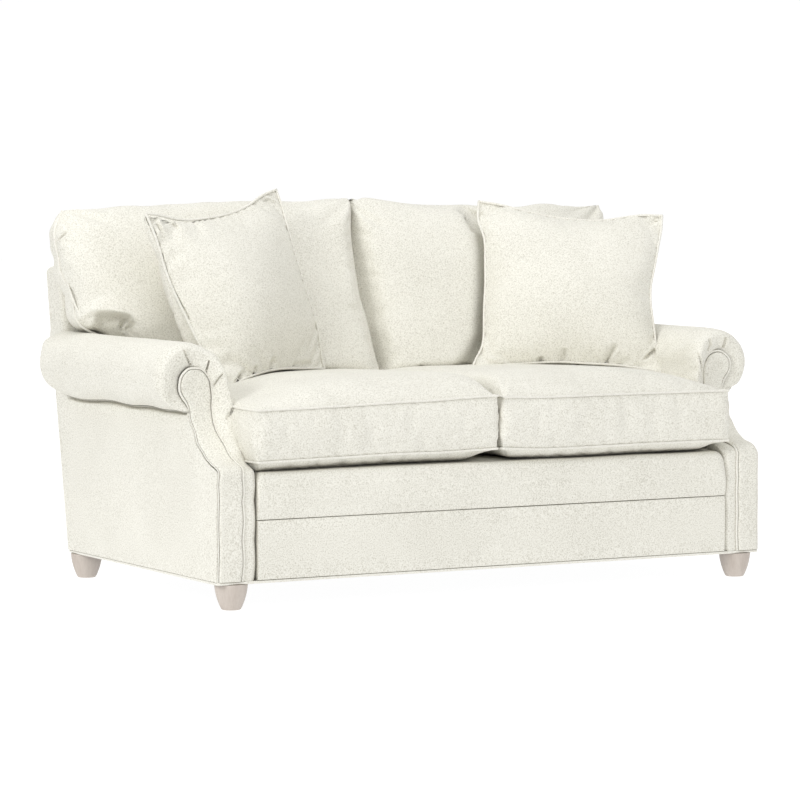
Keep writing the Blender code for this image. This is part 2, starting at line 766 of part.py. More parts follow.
def back_top_rail(material, back_frame):
    bottom = back_post_top() + GAP
    low = (-POST_OUTER_X, back_rail_front(), bottom)
    high = (POST_OUTER_X, -(COVER_PANEL + GAP), bottom + BACK_RAIL_HEIGHT)
    return add_box("back_top_rail", low, high, material, back_frame)


def back_lower_rail(material, back_frame):
    reach = POST_INNER_X - GAP
    front = back_rail_front()
    bottom = back_u(LOWER_RAIL_HEIGHT, front)
    low = (-reach, front, bottom)
    high = (reach, front + BACK_RAIL_DEPTH, bottom + BACK_RAIL_HEIGHT)
    return add_box("back_lower_rail", low, high, material, back_frame)


def back_centre_post(material, back_frame):
    front = back_rail_front()
    bottom = back_u(LOWER_RAIL_HEIGHT, front) + BACK_RAIL_HEIGHT + GAP
    low = (-CENTRE_POST_WIDTH / 2, front, bottom)
    high = (CENTRE_POST_WIDTH / 2, front + BACK_RAIL_DEPTH, back_post_top())
    return add_box("back_centre_post", low, high, material, back_frame)


# Sinuous springs

def zigzag(start, end, half_width, pitch):
    """Sideways swing of a sinuous spring at even steps along its length."""
    bends = max(2, round((end - start) / pitch))
    points = [(0.0, start)]
    for bend in range(bends):
        direction = 1.0 if bend % 2 else -1.0
        for share in SPRING_BEND_SHARES:
            points.append((direction * half_width, start + (end - start) * (bend + share) / bends))
    points.append((0.0, end))
    return points


def seat_spring(index, material, parent):
    """Arched sinuous spring from the front rail to the rear rail, touching the deck at its top."""
    front = WOOD_FRONT_Y + SPRING_LANDING
    rear = REAR_RAIL_Y + RAIL_THICKNESS - SPRING_LANDING
    low_z = RAIL_TOP + SPRING_WIRE + GAP
    crown = DECK_BOTTOM - GAP - SPRING_WIRE - low_z
    middle = SEAT_SPRING_SPREAD * (index / (SEAT_SPRINGS - 1) - 1 / 2)
    points = []
    for swing, y in zigzag(front, rear, SPRING_HALF_WIDTH, SPRING_PITCH):
        share = (y - front) / (rear - front)
        points.append((middle + swing, y, low_z + crown * math.sin(math.pi * share)))
    return tube("seat_spring_%d" % (index + 1), points, SPRING_WIRE, material, parent, resolution=0)


def back_spring(index, material, back_frame):
    """Upright sinuous spring across the front of the two back rails."""
    front = back_rail_front()
    start = back_u(LOWER_RAIL_HEIGHT, front) + SPRING_LANDING
    end = back_post_top() + GAP + BACK_RAIL_HEIGHT - SPRING_LANDING
    middle = BACK_SPRING_SPREAD * (index / (BACK_SPRINGS - 1) - 1 / 2)
    v = front - SPRING_WIRE - GAP
    points = [(middle + swing, v, u) for swing, u in zigzag(start, end, SPRING_HALF_WIDTH, SPRING_PITCH)]
    return tube("back_spring_%d" % (index + 1), points, SPRING_WIRE, material, back_frame, resolution=0)


# Covers of the seat base and the back

def seat_deck(material, parent):
    front = FRONT_Y + BORDER_LIP + GAP
    inset = BACK_FRAME_DEPTH + GAP
    outline = [
        (front, DECK_BOTTOM),
        (front, DECK_TOP),
        (back_y(DECK_TOP, inset), DECK_TOP),
        (back_y(DECK_BOTTOM, inset), DECK_BOTTOM),
    ]
    reach = INNER_X - SLIDE_GAP
    return link_mesh("seat_deck", prism_mesh(outline, -reach, reach), material, parent)


def front_border_lower(material, parent):
    reach = INNER_X - SLIDE_GAP
    low = (-reach, FRONT_Y, COVER_BOTTOM)
    high = (reach, WOOD_FRONT_Y - GAP, BORDER_SEAM - BORDER_SEAM_GAP)
    bm = box_mesh(low, high)
    bevel_edges(bm, BORDER_EDGE, 2, lambda edge: all(abs(v.co.y - FRONT_Y) < GAP for v in edge.verts))
    return link_mesh("front_border_lower", bm, material, parent)


def front_border_upper(material, parent):
    """Puffy upper band that rolls back over the front rail to meet the deck."""
    bottom = BORDER_SEAM + BORDER_SEAM_GAP
    height = DECK_TOP - bottom
    outline = [(WOOD_FRONT_Y - GAP, bottom)]
    for pad_share, swell_share, height_share in BORDER_FACE_SHARES:
        y = FRONT_Y + FRONT_PADDING * pad_share - BORDER_PROUD * swell_share
        outline.append((y, bottom + height * height_share))
    outline.append((FRONT_Y + BORDER_LIP - FRONT_PADDING, DECK_TOP))
    outline.append((FRONT_Y + BORDER_LIP, DECK_TOP))
    lip_bottom = DECK_TOP - BORDER_LIP_THICKNESS
    outline.append((FRONT_Y + BORDER_LIP, lip_bottom))
    outline.append((WOOD_FRONT_Y - GAP, lip_bottom))
    reach = INNER_X - SLIDE_GAP
    bm = prism_mesh(outline, -reach, reach)
    return link_mesh("front_border_upper", bm, material, parent, smooth=CRISP_EDGE)


def inside_back(material, back_frame):
    """Padded cap over the back frame, open behind, with a slot for each arm rail."""
    front = -BACK_FRAME_DEPTH
    rear = -(COVER_PANEL + GAP)
    bottom = back_u(DECK_BOTTOM, front)
    low = (-PAD_OUTER_X, front, bottom)
    high = (PAD_OUTER_X, rear, BACK_TOP_U)
    bm = box_mesh(low, high)

    def outer_edge(edge):
        on_front = all(abs(v.co.y - front) < GAP for v in edge.verts)
        on_top = all(abs(v.co.z - BACK_TOP_U) < GAP for v in edge.verts)
        on_side = all(abs(abs(v.co.x) - PAD_OUTER_X) < GAP for v in edge.verts)
        upright = abs(edge.verts[0].co.z - edge.verts[1].co.z) > GAP
        level = not upright and on_top
        return (on_front and on_top) or (on_side and level) or (on_front and on_side and upright)

    bevel_edges(bm, BACK_EDGE_RADIUS, 3, outer_edge)
    cap = link_mesh("inside_back", bm, material, back_frame, smooth=CRISP_EDGE)

    reach = POST_OUTER_X + GAP
    hollow_front = -(back_post_front() + GAP)
    low = (-reach, hollow_front, bottom - OVERRUN)
    high = (reach, OVERRUN, BACK_TOP_U - BACK_PADDING)
    cut_with(cap, link_mesh("inside_back_hollow_cutter", box_mesh(low, high), None, back_frame))
    for side in (-1, 1):
        middle_z = back_u(ARM_RAIL_TOP - ARM_RAIL_HEIGHT / 2, front)
        half = ARM_RAIL_HEIGHT / 2 + BACK_PADDING / 2
        low_x, high_x = sorted((side * (POST_INNER_X - GAP), side * (POST_OUTER_X + 2 * GAP)))
        low = (low_x, front - OVERRUN, middle_z - half)
        high = (high_x, hollow_front + OVERRUN / 2, middle_z + half)
        cutter = link_mesh("inside_back_slot_cutter_" + side_name(side), box_mesh(low, high), None, back_frame)
        cut_with(cap, cutter)
    return cap


def outside_back(material, back_frame):
    low = (-OUTER_X, -COVER_PANEL, back_u(COVER_BOTTOM))
    high = (OUTER_X, 0.0, BACK_TOP_U)
    bm = box_mesh(low, high)

    def top_corner(edge):
        high_up = all(abs(v.co.z - BACK_TOP_U) < GAP for v in edge.verts)
        same_side = abs(edge.verts[0].co.x - edge.verts[1].co.x) < GAP
        return high_up and same_side

    bevel_edges(bm, BACK_EDGE_RADIUS, 3, top_corner)
    return link_mesh("outside_back", bm, material, back_frame)


def base_welt(material, parent):
    """Piping round the bottom edge of the base."""
    z = FOOT_HEIGHT + GAP + WELT_RADIUS
    x = WELT_OUTER_X
    front = FRONT_Y + WELT_RADIUS
    rear = back_y(z, WELT_RADIUS)
    radius = 2 * WELT_RADIUS
    points = []
    corners = ((x, front, -90), (x, rear, 0), (-x, rear, 90), (-x, front, 180))
    for corner_x, corner_y, start in corners:
        centre_x = corner_x - math.copysign(radius, corner_x)
        centre_y = corner_y - radius if corner_y == rear else corner_y + radius
        for step in (0, 45, 90):
            angle = math.radians(start + step)
            points.append((centre_x + radius * math.cos(angle), centre_y + radius * math.sin(angle), z))
    return tube("base_welt", points, WELT_RADIUS, material, parent, cyclic=True)


def foot_places():
    """Name, side and plan position of each foot."""
    front = (OUTER_X - FOOT_FRONT_SIDE_INSET, FRONT_Y + FOOT_FRONT_INSET)
    rear = (OUTER_X - FOOT_REAR_SIDE_INSET, back_y(FOOT_HEIGHT) - FOOT_REAR_INSET)
    places = []
    for end, (x, y) in (("front", front), ("rear", rear)):
        for side in (-1, 1):
            places.append((end + "_" + side_name(side), side * x, y))
    return places


def dust_cover(material, parent):
    """Black cloth under the base, with a hole for each foot bolt."""
    margin = 2 * WELT_RADIUS + GAP
    bottom = FOOT_HEIGHT + GAP
    low = (-OUTER_X + margin, FRONT_Y + margin, bottom)
    high = (OUTER_X - margin, back_y(FOOT_HEIGHT) - margin, bottom + DUST_COVER)
    cover = link_mesh("dust_cover", box_mesh(low, high), material, parent)
    for name, x, y in foot_places():
        bm = cylinder_mesh(BOLT_RADIUS + BOLT_GAP, bottom - OVERRUN, bottom + OVERRUN, BOLT_SIDES)
        cutter = link_mesh("dust_cover_hole_" + name, bm, None, parent, location=(x, y, 0.0))
        cut_with(cover, cutter)
    return cover


def foot(name, x, y, material, parent):
    """Turned tapered foot with a bolt hole in its top."""
    bm = bmesh.new()
    span = FOOT_TOP_RADIUS - FOOT_BOTTOM_RADIUS
    rings = []
    for height_share, radius_share in FOOT_OUTLINE_SHARES:
        radius = FOOT_BOTTOM_RADIUS + span * radius_share
        z = FOOT_HEIGHT * height_share
        angles = [2 * math.pi * step / FOOT_SIDES for step in range(FOOT_SIDES)]
        rings.append([(radius * math.cos(a), radius * math.sin(a), z) for a in angles])
    loops = bridge_rings(bm, rings)
    bm.faces.new(loops[0])
    bm.faces.new(loops[-1])
    body = link_mesh("foot_" + name, bm, material, parent, location=(x, y, 0.0), smooth=ROUND_EDGE)
    hole_bottom = FOOT_HEIGHT - BOLT_IN_FOOT - BOLT_GAP
    hole = cylinder_mesh(BOLT_RADIUS + BOLT_GAP, hole_bottom, FOOT_HEIGHT + OVERRUN, BOLT_SIDES)
    cut_with(body, link_mesh("foot_hole_" + name, hole, None, parent, location=(x, y, 0.0)))
    return body


def foot_bolt(name, x, y, material, parent):
    bm = cylinder_mesh(BOLT_RADIUS, FOOT_HEIGHT - BOLT_IN_FOOT, TIMBER_BOTTOM + BOLT_IN_POST, BOLT_SIDES)
    return link_mesh("foot_bolt_" + name, bm, material, parent, location=(x, y, 0.0), smooth=CRISP_EDGE)


def post_hole(post, name, x, y, parent):
    """Pilot hole for the foot bolt, up into a post."""
    top = TIMBER_BOTTOM + BOLT_IN_POST + BOLT_GAP
    bm = cylinder_mesh(BOLT_RADIUS + BOLT_GAP, -OVERRUN, top, BOLT_SIDES)
    cut_with(post, link_mesh("post_hole_" + name, bm, None, parent, location=(x, y, 0.0)))


# Loose cushions

def sheet_grid(columns, rows, place):
    """Points of a sheet, row by row, from a function of two shares."""
    return [[place(i / columns, j / rows) for i in range(columns + 1)] for j in range(rows + 1)]


def add_sheet_faces(bm, sheet):
    """Quads between the rows of a sheet of vertices."""
    for low, high in zip(sheet, sheet[1:]):
        for i in range(len(low) - 1):
            bm.faces.new((low[i], low[i + 1], high[i + 1], high[i]))


def round_share(share, power, root):
    """Puffed edge profile: 0 at both ends of the share and 1 in the middle."""
    return max(1.0 - abs(2.0 * share - 1.0) ** power, 0.0) ** (1.0 / root)


def seat_cushion_ends():
    """Front and rear seam of the seat cushions."""
    front = FRONT_Y - (CUSHION_PROUD - SEAT_BOXING_BULGE)
    rear = back_y(DECK_TOP, BACK_FRAME_DEPTH) - SEAT_REAR_GAP - SEAT_BOXING_BULGE
    return front, rear


def seat_cushion(side, material, parent):
    """Boxed cushion: crowned top, bulging border between its two seams, soft underside."""
    front, rear = seat_cushion_ends()
    half_x = (INNER_X - 2 * SLIDE_GAP) / 2 - SEAT_BOXING_BULGE
    half_y = (rear - front) / 2
    centre_x = side * INNER_X / 2
    centre_y = (rear + front) / 2

    def plan(s, t):
        """Rounded rectangle whose sides pull in between the corners."""
        p = math.sin((s - 0.5) * math.pi)
        q = math.sin((t - 0.5) * math.pi)
        x = p * (half_x - SEAT_SIDE_DRAW * (1.0 - q * q))
        y = q * half_y
        corner = SEAT_CORNER_CUT * abs(p * q) ** SEAT_CORNER_POWER
        x -= math.copysign(corner, p)
        y -= math.copysign(corner, q)
        return x, y, p, q

    def top_point(s, t):
        x, y, p, q = plan(s, t)
        world_y = centre_y + y
        edge_z = SEAT_TOP_WELT + SEAT_CORNER_LIFT * abs(p * q) ** SEAT_LIFT_POWER
        distance = min(half_x * (1.0 - abs(p)), half_y * (1.0 - abs(q)))
        share = min(distance / SEAT_SHOULDER, 1.0)
        swell = math.sqrt(1.0 - (1.0 - share) ** 2)
        z = edge_z + (seat_plane(world_y) - edge_z) * swell
        return (centre_x + x, world_y, min(z, seat_plane(world_y)))

    bm = bmesh.new()
    steps = range(SEAT_STEPS)
    down = range(SEAT_STEPS, 0, -1)
    grid = sheet_grid(SEAT_STEPS, SEAT_STEPS, top_point)
    verts = [[bm.verts.new(place) for place in row] for row in grid]
    add_sheet_faces(bm, verts)
    edge = [verts[0][i] for i in steps] + [verts[j][SEAT_STEPS] for j in steps]
    edge += [verts[SEAT_STEPS][i] for i in down] + [verts[j][0] for j in down]

    previous = edge
    for bulge_share, height_share in SEAT_BORDER_SHARES:
        ring = []
        for vert in edge:
            offset = Vector((vert.co.x - centre_x, vert.co.y - centre_y))
            sideways = offset.x / half_x
            lengthways = offset.y / half_y
            out_x = math.copysign(abs(sideways) ** SEAT_BULGE_POWER, sideways)
            out_y = math.copysign(abs(lengthways) ** SEAT_BULGE_POWER, lengthways)
            bulge = SEAT_BOXING_BULGE * bulge_share
            z = SEAT_BOTTOM_WELT + (vert.co.z - SEAT_BOTTOM_WELT) * height_share
            ring.append(bm.verts.new((vert.co.x + out_x * bulge, vert.co.y + out_y * bulge, z)))
        join_rings(bm, previous, ring)
        previous = ring
    for inset_share, z_share in SEAT_UNDERSIDE_SHARES:
        ring = []
        for vert in edge:
            x = centre_x + (vert.co.x - centre_x) * (1.0 - SEAT_UNDERSIDE_INSET * inset_share / half_x)
            y = centre_y + (vert.co.y - centre_y) * (1.0 - SEAT_UNDERSIDE_INSET * inset_share / half_y)
            bottom = DECK_TOP + GAP
            ring.append(bm.verts.new((x, y, bottom + (SEAT_BOTTOM_WELT - bottom) * z_share)))
        join_rings(bm, previous, ring)
        previous = ring
    bm.faces.new(list(reversed(previous)))
    move_to_origin(bm, (centre_x, centre_y, DECK_TOP))
    return link_mesh("seat_cushion_" + side_name(side), bm, material, parent, smooth=SOFT_EDGE)


def join_rings(bm, first, second):
    count = len(first)
    for i in range(count):
        j = (i + 1) % count
        bm.faces.new((first[i], first[j], second[j], second[i]))


def move_to_origin(bm, place):
    """Express a mesh drawn in the sofa's frame about a point of its own."""
    bmesh.ops.translate(bm, verts=bm.verts, vec=-Vector(place))


def cushion_face_y(z):
    """Front of the back cushions where the two meet, at a height."""
    return BACK_CUSHION_Y + (z - seat_plane(BACK_CUSHION_Y)) * math.tan(BACK_CUSHION_FACE_RAKE)


def back_cushion_point(side, a, b, front):
    """A point of the back cushion; a runs out from the middle, b up from the seat."""
    drop = BACK_CUSHION_TOP_DROP * blend(LEFT_TOP_SHARES if side < 0 else RIGHT_TOP_SHARES, a)
    top_z = BACK_CUSHION_TOP - drop
    foot_outer = INNER_X - BACK_CUSHION_FOOT_DRAW
    outer = foot_outer + (BACK_CUSHION_OVERHANG - foot_outer) * blend(OVERHANG_SHARES, b)
    x = SLIDE_GAP + (outer - SLIDE_GAP) * a
    upper = max(1.0 - b**BACK_CUSHION_TOP_POWER, 0.0) ** (1.0 / BACK_CUSHION_TOP_ROOT)
    face_power = BACK_CUSHION_INNER_POWER if 2 * a < 1.0 else BACK_CUSHION_OUTER_POWER
    fullness = round_share(a, face_power, BACK_CUSHION_SIDE_ROOT) * upper
    rear_fullness = round_share(a, BACK_CUSHION_REAR_POWER, BACK_CUSHION_SIDE_ROOT) * upper
    swell = BACK_CUSHION_BULGE * round_share(a, 2, 1) * upper
    y = BACK_CUSHION_Y
    for _ in range(3):
        z = (seat_plane(y) + SLIDE_GAP) * (1.0 - b) + top_z * b
        face = cushion_face_y(z)
        lean = back_y(z, BACK_FRAME_DEPTH) - SLIDE_GAP
        middle = face + (lean - face) * BACK_CUSHION_SEAM_SHARE
        if front:
            y = middle - (middle - face + swell) * fullness
        else:
            y = middle + (lean - middle) * rear_fullness
    return Vector((side * x, y, z))


def two_sheets(bm, columns, rows, place, shared):
    """Front and rear sheet of vertices that share their outer edges."""
    front = [[bm.verts.new(place(i, j, True)) for i in range(columns + 1)] for j in range(rows + 1)]
    rear = []
    for j in range(rows + 1):
        row = []
        for i in range(columns + 1):
            row.append(front[j][i] if shared(i, j) else bm.verts.new(place(i, j, False)))
        rear.append(row)
    add_sheet_faces(bm, front)
    add_sheet_faces(bm, rear)
    return front, rear


def back_cushion(side, material, parent):
    """Tall loose cushion, wedge-shaped, narrow between the arms and wide above them."""
    columns, rows = BACK_CUSHION_COLUMNS, BACK_CUSHION_ROWS

    def place(i, j, front):
        a = (1.0 - math.cos(i / columns * math.pi)) / 2
        b = math.sin(j / rows * math.pi / 2)
        return back_cushion_point(side, a, b, front)

    bm = bmesh.new()
    front, rear = two_sheets(bm, columns, rows, place, lambda i, j: i in (0, columns) or j == rows)
    bm.faces.new(front[0] + list(reversed(rear[0][1:-1])))
    move_to_origin(bm, parent.matrix_world.translation)
    return link_mesh("back_cushion_" + side_name(side), bm, material, parent, smooth=SOFT_EDGE)


def pillow_point(s, t, front):
    """A point of a knife-edge pillow with drawn-in sides and pointed corners."""
    p = math.sin((s - 0.5) * math.pi)
    q = math.sin((t - 0.5) * math.pi)
    half = PILLOW_SIZE / 2
    x = p * (half - PILLOW_DRAW * (1.0 - q * q))
    z = q * (half - PILLOW_DRAW * (1.0 - p * p))
    fill = ((1.0 - p * p) * (1.0 - q * q)) ** PILLOW_FILL_POWER
    y = PILLOW_HALF_THICKNESS * fill * (-1.0 if front else 1.0)
    return Vector((x, y, z))


def height_over(bm, centre, seat):
    """Least height of a mesh, drawn about a centre, over the top of a seat cushion."""
    offset = centre - seat.matrix_world.translation
    up = Vector((0.0, 0.0, 1.0))
    seat_points = [vert.co for vert in seat.data.vertices]
    top = BVHTree.FromPolygons(seat_points, [face.vertices for face in seat.data.polygons])
    underside = BVHTree.FromBMesh(bm)
    edge_points = [
        edge.verts[0].co.lerp(edge.verts[1].co, share) for edge in bm.edges for share in EDGE_SHARES
    ]
    hits = [top.ray_cast(point + offset, -up) for point in edge_points]
    hits += [underside.ray_cast(point - offset, up) for point in seat_points]
    return min(distance for place, normal, index, distance in hits if place)


def pillow(name, x, ahead, turn, lean, roll, material, parent, seat):
    """Scatter pillow that stands on its seat cushion and leans back."""
    rotation = Matrix.Rotation(turn, 3, "Z") @ Matrix.Rotation(-lean, 3, "X") @ Matrix.Rotation(-roll, 3, "Y")
    ends = (0, PILLOW_STEPS)

    def place(i, j, front):
        return rotation @ pillow_point(i / PILLOW_STEPS, j / PILLOW_STEPS, front)

    bm = bmesh.new()
    two_sheets(bm, PILLOW_STEPS, PILLOW_STEPS, place, lambda i, j: i in ends or j in ends)
    centre = Vector((x, BACK_CUSHION_Y - ahead, BACK_TOP + PILLOW_SIZE / 2))
    centre.z -= height_over(bm, centre, seat) - SLIDE_GAP
    location = centre - parent.matrix_world.translation
    return link_mesh(name, bm, material, parent, location=location, smooth=SOFT_EDGE)


def build_frame(materials, root, back_frame):
    wood = materials["timber"]
    steel = materials["spring_steel"]
    front_rail(wood, root)
    rear_rail(wood, root)
    centre_brace(wood, root)
    posts = {}
    for side in (-1, 1):
        side_rail(side, wood, root)
        corner_block(side, "front", wood, root)
        corner_block(side, "rear", wood, root)
        posts["front_" + side_name(side)] = arm_front_post(side, wood, root)
        arm_top_rail(side, wood, root)
        posts["rear_" + side_name(side)] = back_post(side, wood, back_frame)
    back_top_rail(wood, back_frame)
    back_lower_rail(wood, back_frame)
    back_centre_post(wood, back_frame)
    for index in range(SEAT_SPRINGS):
        seat_spring(index, steel, root)
    for index in range(BACK_SPRINGS):
        back_spring(index, steel, back_frame)
    for name, x, y in foot_places():
        foot(name, x, y, materials["whitewashed_wood"], root)
        foot_bolt(name, x, y, steel, root)
        post_hole(posts[name], name, x, y, root)


def build_covers(materials, root, back_frame):
    fabric = materials["cover_fabric"]
    for side in (-1, 1):
        arm_pad(side, fabric, root)
        arm_facing(side, fabric, root)
        arm_welt(side, materials["welt_fabric"], root)
        outer_arm(side, fabric, root)
    seat_deck(materials["deck_cloth"], root)
    front_border_lower(fabric, root)
    front_border_upper(fabric, root)
    inside_back(fabric, back_frame)
    outside_back(fabric, back_frame)
    base_welt(materials["welt_fabric"], root)
    dust_cover(materials["dust_cloth"], root)


def build_cushions(materials, root):
    fabric = materials["cushion_fabric"]
    lean_y = back_y(BACK_TOP, BACK_FRAME_DEPTH)
    slides = {}
    seats = {}
    for side in (-1, 1):
        name = side_name(side)
        seat_slide = make_empty("seat_slide_" + name, cushion_place(side), parent=root)
        slides[side] = make_empty("back_slide_" + name, (side * INNER_X / 2, lean_y, BACK_TOP), parent=root)
        bpy.context.view_layer.update()
        seats[side] = seat_cushion(side, fabric, seat_slide)
        back_cushion(side, fabric, slides[side])
    bpy.context.view_layer.update()
    pillow(
        "pillow_left", LEFT_PILLOW_X, LEFT_PILLOW_AHEAD, LEFT_PILLOW_TURN, LEFT_PILLOW_LEAN,
        LEFT_PILLOW_ROLL, materials["pillow_fabric"], slides[-1], seats[-1],
    )
    pillow(
        "pillow_right", RIGHT_PILLOW_X, RIGHT_PILLOW_AHEAD, RIGHT_PILLOW_TURN, RIGHT_PILLOW_LEAN,
        RIGHT_PILLOW_ROLL, materials["pillow_fabric"], slides[1], seats[1],
    )


def cushion_place(side):
    """Middle of a seat cushion's underside."""
    front, rear = seat_cushion_ends()
    return Vector((side * INNER_X / 2, (rear + front) / 2, DECK_TOP))


def main():
    clear_scene()
    materials = {
        "timber": make_material("timber", (0.60, 0.44, 0.27), 0.65),
        "whitewashed_wood": make_material("whitewashed_wood", (0.55, 0.49, 0.43), 0.50),
        "spring_steel": make_material("spring_steel", (0.45, 0.45, 0.46), 0.35, 1.0),
        "cover_fabric": make_material("cover_fabric", (0.86, 0.84, 0.75), 0.92),
        "cushion_fabric": make_material("cushion_fabric", (0.87, 0.85, 0.76), 0.92),
        "pillow_fabric": make_material("pillow_fabric", (0.87, 0.85, 0.76), 0.92),
        "welt_fabric": make_material("welt_fabric", (0.88, 0.87, 0.79), 0.90),
        "deck_cloth": make_material("deck_cloth", (0.78, 0.76, 0.68), 0.95),
        "dust_cloth": make_material("dust_cloth", (0.03, 0.03, 0.03), 0.95),
    }
    root = make_empty("sofa_frame", (0.0, 0.0, 0.0))
    back_frame = make_empty("raked_back", (0.0, BACK_FOOT_Y, 0.0), (-BACK_RAKE, 0.0, 0.0), root)
    bpy.context.view_layer.update()
    build_frame(materials, root, back_frame)
    build_covers(materials, root, back_frame)
    build_cushions(materials, root)


main()
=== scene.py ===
import math

import bmesh
import bpy
import numpy as np
from mathutils import Matrix, Vector, noise
from mathutils.bvhtree import BVHTree


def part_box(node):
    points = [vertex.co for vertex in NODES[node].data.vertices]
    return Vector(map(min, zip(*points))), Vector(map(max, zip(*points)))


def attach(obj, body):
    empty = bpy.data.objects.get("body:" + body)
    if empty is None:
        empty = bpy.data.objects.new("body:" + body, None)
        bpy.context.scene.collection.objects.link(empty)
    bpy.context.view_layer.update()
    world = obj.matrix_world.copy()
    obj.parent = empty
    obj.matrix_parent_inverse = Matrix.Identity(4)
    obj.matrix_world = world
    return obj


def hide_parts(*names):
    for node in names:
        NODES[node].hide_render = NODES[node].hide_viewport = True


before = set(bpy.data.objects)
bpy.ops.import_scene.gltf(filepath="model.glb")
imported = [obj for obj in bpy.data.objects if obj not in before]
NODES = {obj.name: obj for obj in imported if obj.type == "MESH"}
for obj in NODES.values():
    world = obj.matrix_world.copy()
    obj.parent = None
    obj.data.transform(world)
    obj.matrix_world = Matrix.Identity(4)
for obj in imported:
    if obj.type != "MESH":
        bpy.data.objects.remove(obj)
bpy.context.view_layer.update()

# Sizes in metres, most of them shared with the solids
OVERALL_WIDTH = 1.690
OVERALL_DEPTH = 0.997
BASE_WIDTH = 1.536
INNER_WIDTH = 1.332
ARM_HEIGHT = 0.624
BACK_TOP = 0.772
BACK_RAKE = math.radians(10.4)
FOOT_HEIGHT = 0.061
CUSHION_PROUD = 0.012
GAP = 0.0003
SLIDE_GAP = 0.0005
COVER_PANEL = 0.006
BACK_FRAME_DEPTH = 0.0836
BACK_EDGE_RADIUS = 0.016
WELT_RADIUS = 0.0035
DUST_COVER = 0.0016
ROLL_RADIUS = 0.084
SWEEP_DEPTH = 0.163
SWEEP_RISE = 0.180
SHELF_HEIGHT = 0.335
SHELF_CORNER = 0.022
INNER_EASE = 0.100
HEAD_RADIUS = 0.0445
HEAD_FLARE = 0.060
HEAD_DROP = 0.0168
FACING_BAND = 0.0375
FACING_CROWN = 0.0022
BAND_ROUND = 0.014
INNER_RIM_ROUND = 0.020
RIM_ROUND = 0.034
RIM_PROUD = 0.034
RIM_PROUD_POWER = 0.7
SIDE_ROUND = 0.004
ROLL_END_ROUND = 0.012
DECK_TOP = 0.325
DECK_THICKNESS = 0.016
BORDER_SEAM = 0.210
BORDER_SEAM_GAP = 0.0004
BORDER_PROUD = 0.004
BORDER_LIP = 0.075
BORDER_CORNER = 0.022
FOOT_FRONT_SIDE_INSET = 0.052
FOOT_REAR_SIDE_INSET = 0.035
FOOT_FRONT_INSET = 0.034
FOOT_REAR_INSET = 0.037
SEAT_TOP_WELT = 0.478
SEAT_BOTTOM_WELT = 0.352
SEAT_CORNER_LIFT = 0.012
SEAT_CORNER_EAR = 0.0066
SEAT_CORNER_ROUND = 0.005
SEAT_CORNER_REACH = 0.020
SEAT_SIDE_DRAW = 0.005
SEAT_BOXING_BULGE = 0.008
SEAT_SHOULDER = 0.150
SEAT_UNDERSIDE_INSET = 0.050
SEAT_END_INSETS = {-1: (0.016, 0.074), 1: (0.044, 0.086)}
SEAT_CROWN = 0.532
SEAT_CROWN_SETBACK = 0.250
SEAT_PITCH = math.radians(2.0)
SEAT_REAR_GAP = 0.001
BACK_CUSHION_TOP = 0.962
BACK_CUSHION_OVERHANG = 0.822
BACK_CUSHION_REACH = 0.2153
BACK_CUSHION_FACE_RAKE = math.radians(19.3)
BACK_CUSHION_BULGE = 0.035
BACK_CUSHION_FOOT_DRAW = 0.012
BACK_CUSHION_TOP_DROP = 0.034
BACK_CUSHION_SEAM_SHARE = 0.42
PILLOW_SIZE = 0.470
PILLOW_HALF_THICKNESS = 0.070
PILLOW_DRAW = 0.022
PILLOW_FILL_POWER = 0.45

# Thickness of each cover
COVER_THICKNESS = 0.005
ARM_COVER_THICKNESS = 0.004
FACING_THICKNESS = 0.0035
BACK_PANEL_THICKNESS = 0.0028
DUST_CLOTH_THICKNESS = 0.0006

# Cords on the loose cushions
SEAT_CORD_RADIUS = 0.0030
BACK_CORD_RADIUS = 0.0040
BACK_SEAM_CORD_RADIUS = 0.0030
PILLOW_CORD_RADIUS = 0.0034
PILLOW_CORD_PROUD = 0.0016

# Small forms of the covers
RIM_TUCK = 0.0052
RIM_HOLLOW = 0.0030
FACING_TUCK = 0.004
FUNNEL_DEPTH = 0.007
FUNNEL_REACH = 0.019
SLIM_DROP = 0.035
WING_RISE = 0.0105
WING_START_X = 0.66
WING_START_Z = 0.66
SIDE_SWELL = 0.0022
SIDE_CREASE_DROP = 0.0036
BORDER_CREST_DROP = 0.0028
BORDER_SIDE_GAP = 0.004
SEAM_REACH = 0.002
PILLOW_SEAM_REACH = 0.0015

FRONT_Y = CUSHION_PROUD - OVERALL_DEPTH / 2
CAP_Y = FRONT_Y + COVER_PANEL + GAP
ROLL_X = OVERALL_WIDTH / 2 - ROLL_RADIUS
ROLL_Z = ARM_HEIGHT - ROLL_RADIUS
INNER_X = INNER_WIDTH / 2
OUTER_X = BASE_WIDTH / 2
PAD_OUTER_X = OUTER_X - COVER_PANEL - GAP
COVER_BOTTOM = FOOT_HEIGHT + GAP + 2 * WELT_RADIUS + GAP
ELLIPSE_Z = SHELF_HEIGHT + SWEEP_RISE
SLOPE = math.tan(BACK_RAKE)
BACK_TOP_U = BACK_TOP / math.cos(BACK_RAKE)
BACK_FOOT_Y = OVERALL_DEPTH / 2 - BACK_TOP_U * math.sin(BACK_RAKE)
BACK_CUSHION_Y = BACK_FOOT_Y - BACK_CUSHION_REACH
SEAT_CROWN_Y = FRONT_Y + SEAT_CROWN_SETBACK
WELT_OUTER_X = OUTER_X - WELT_RADIUS
WELT_INNER_X = INNER_X + FACING_BAND
HEAD_X = WELT_INNER_X + HEAD_RADIUS
HEAD_Z = ROLL_Z - HEAD_DROP
SEAM_Z = ROLL_Z - ROLL_RADIUS

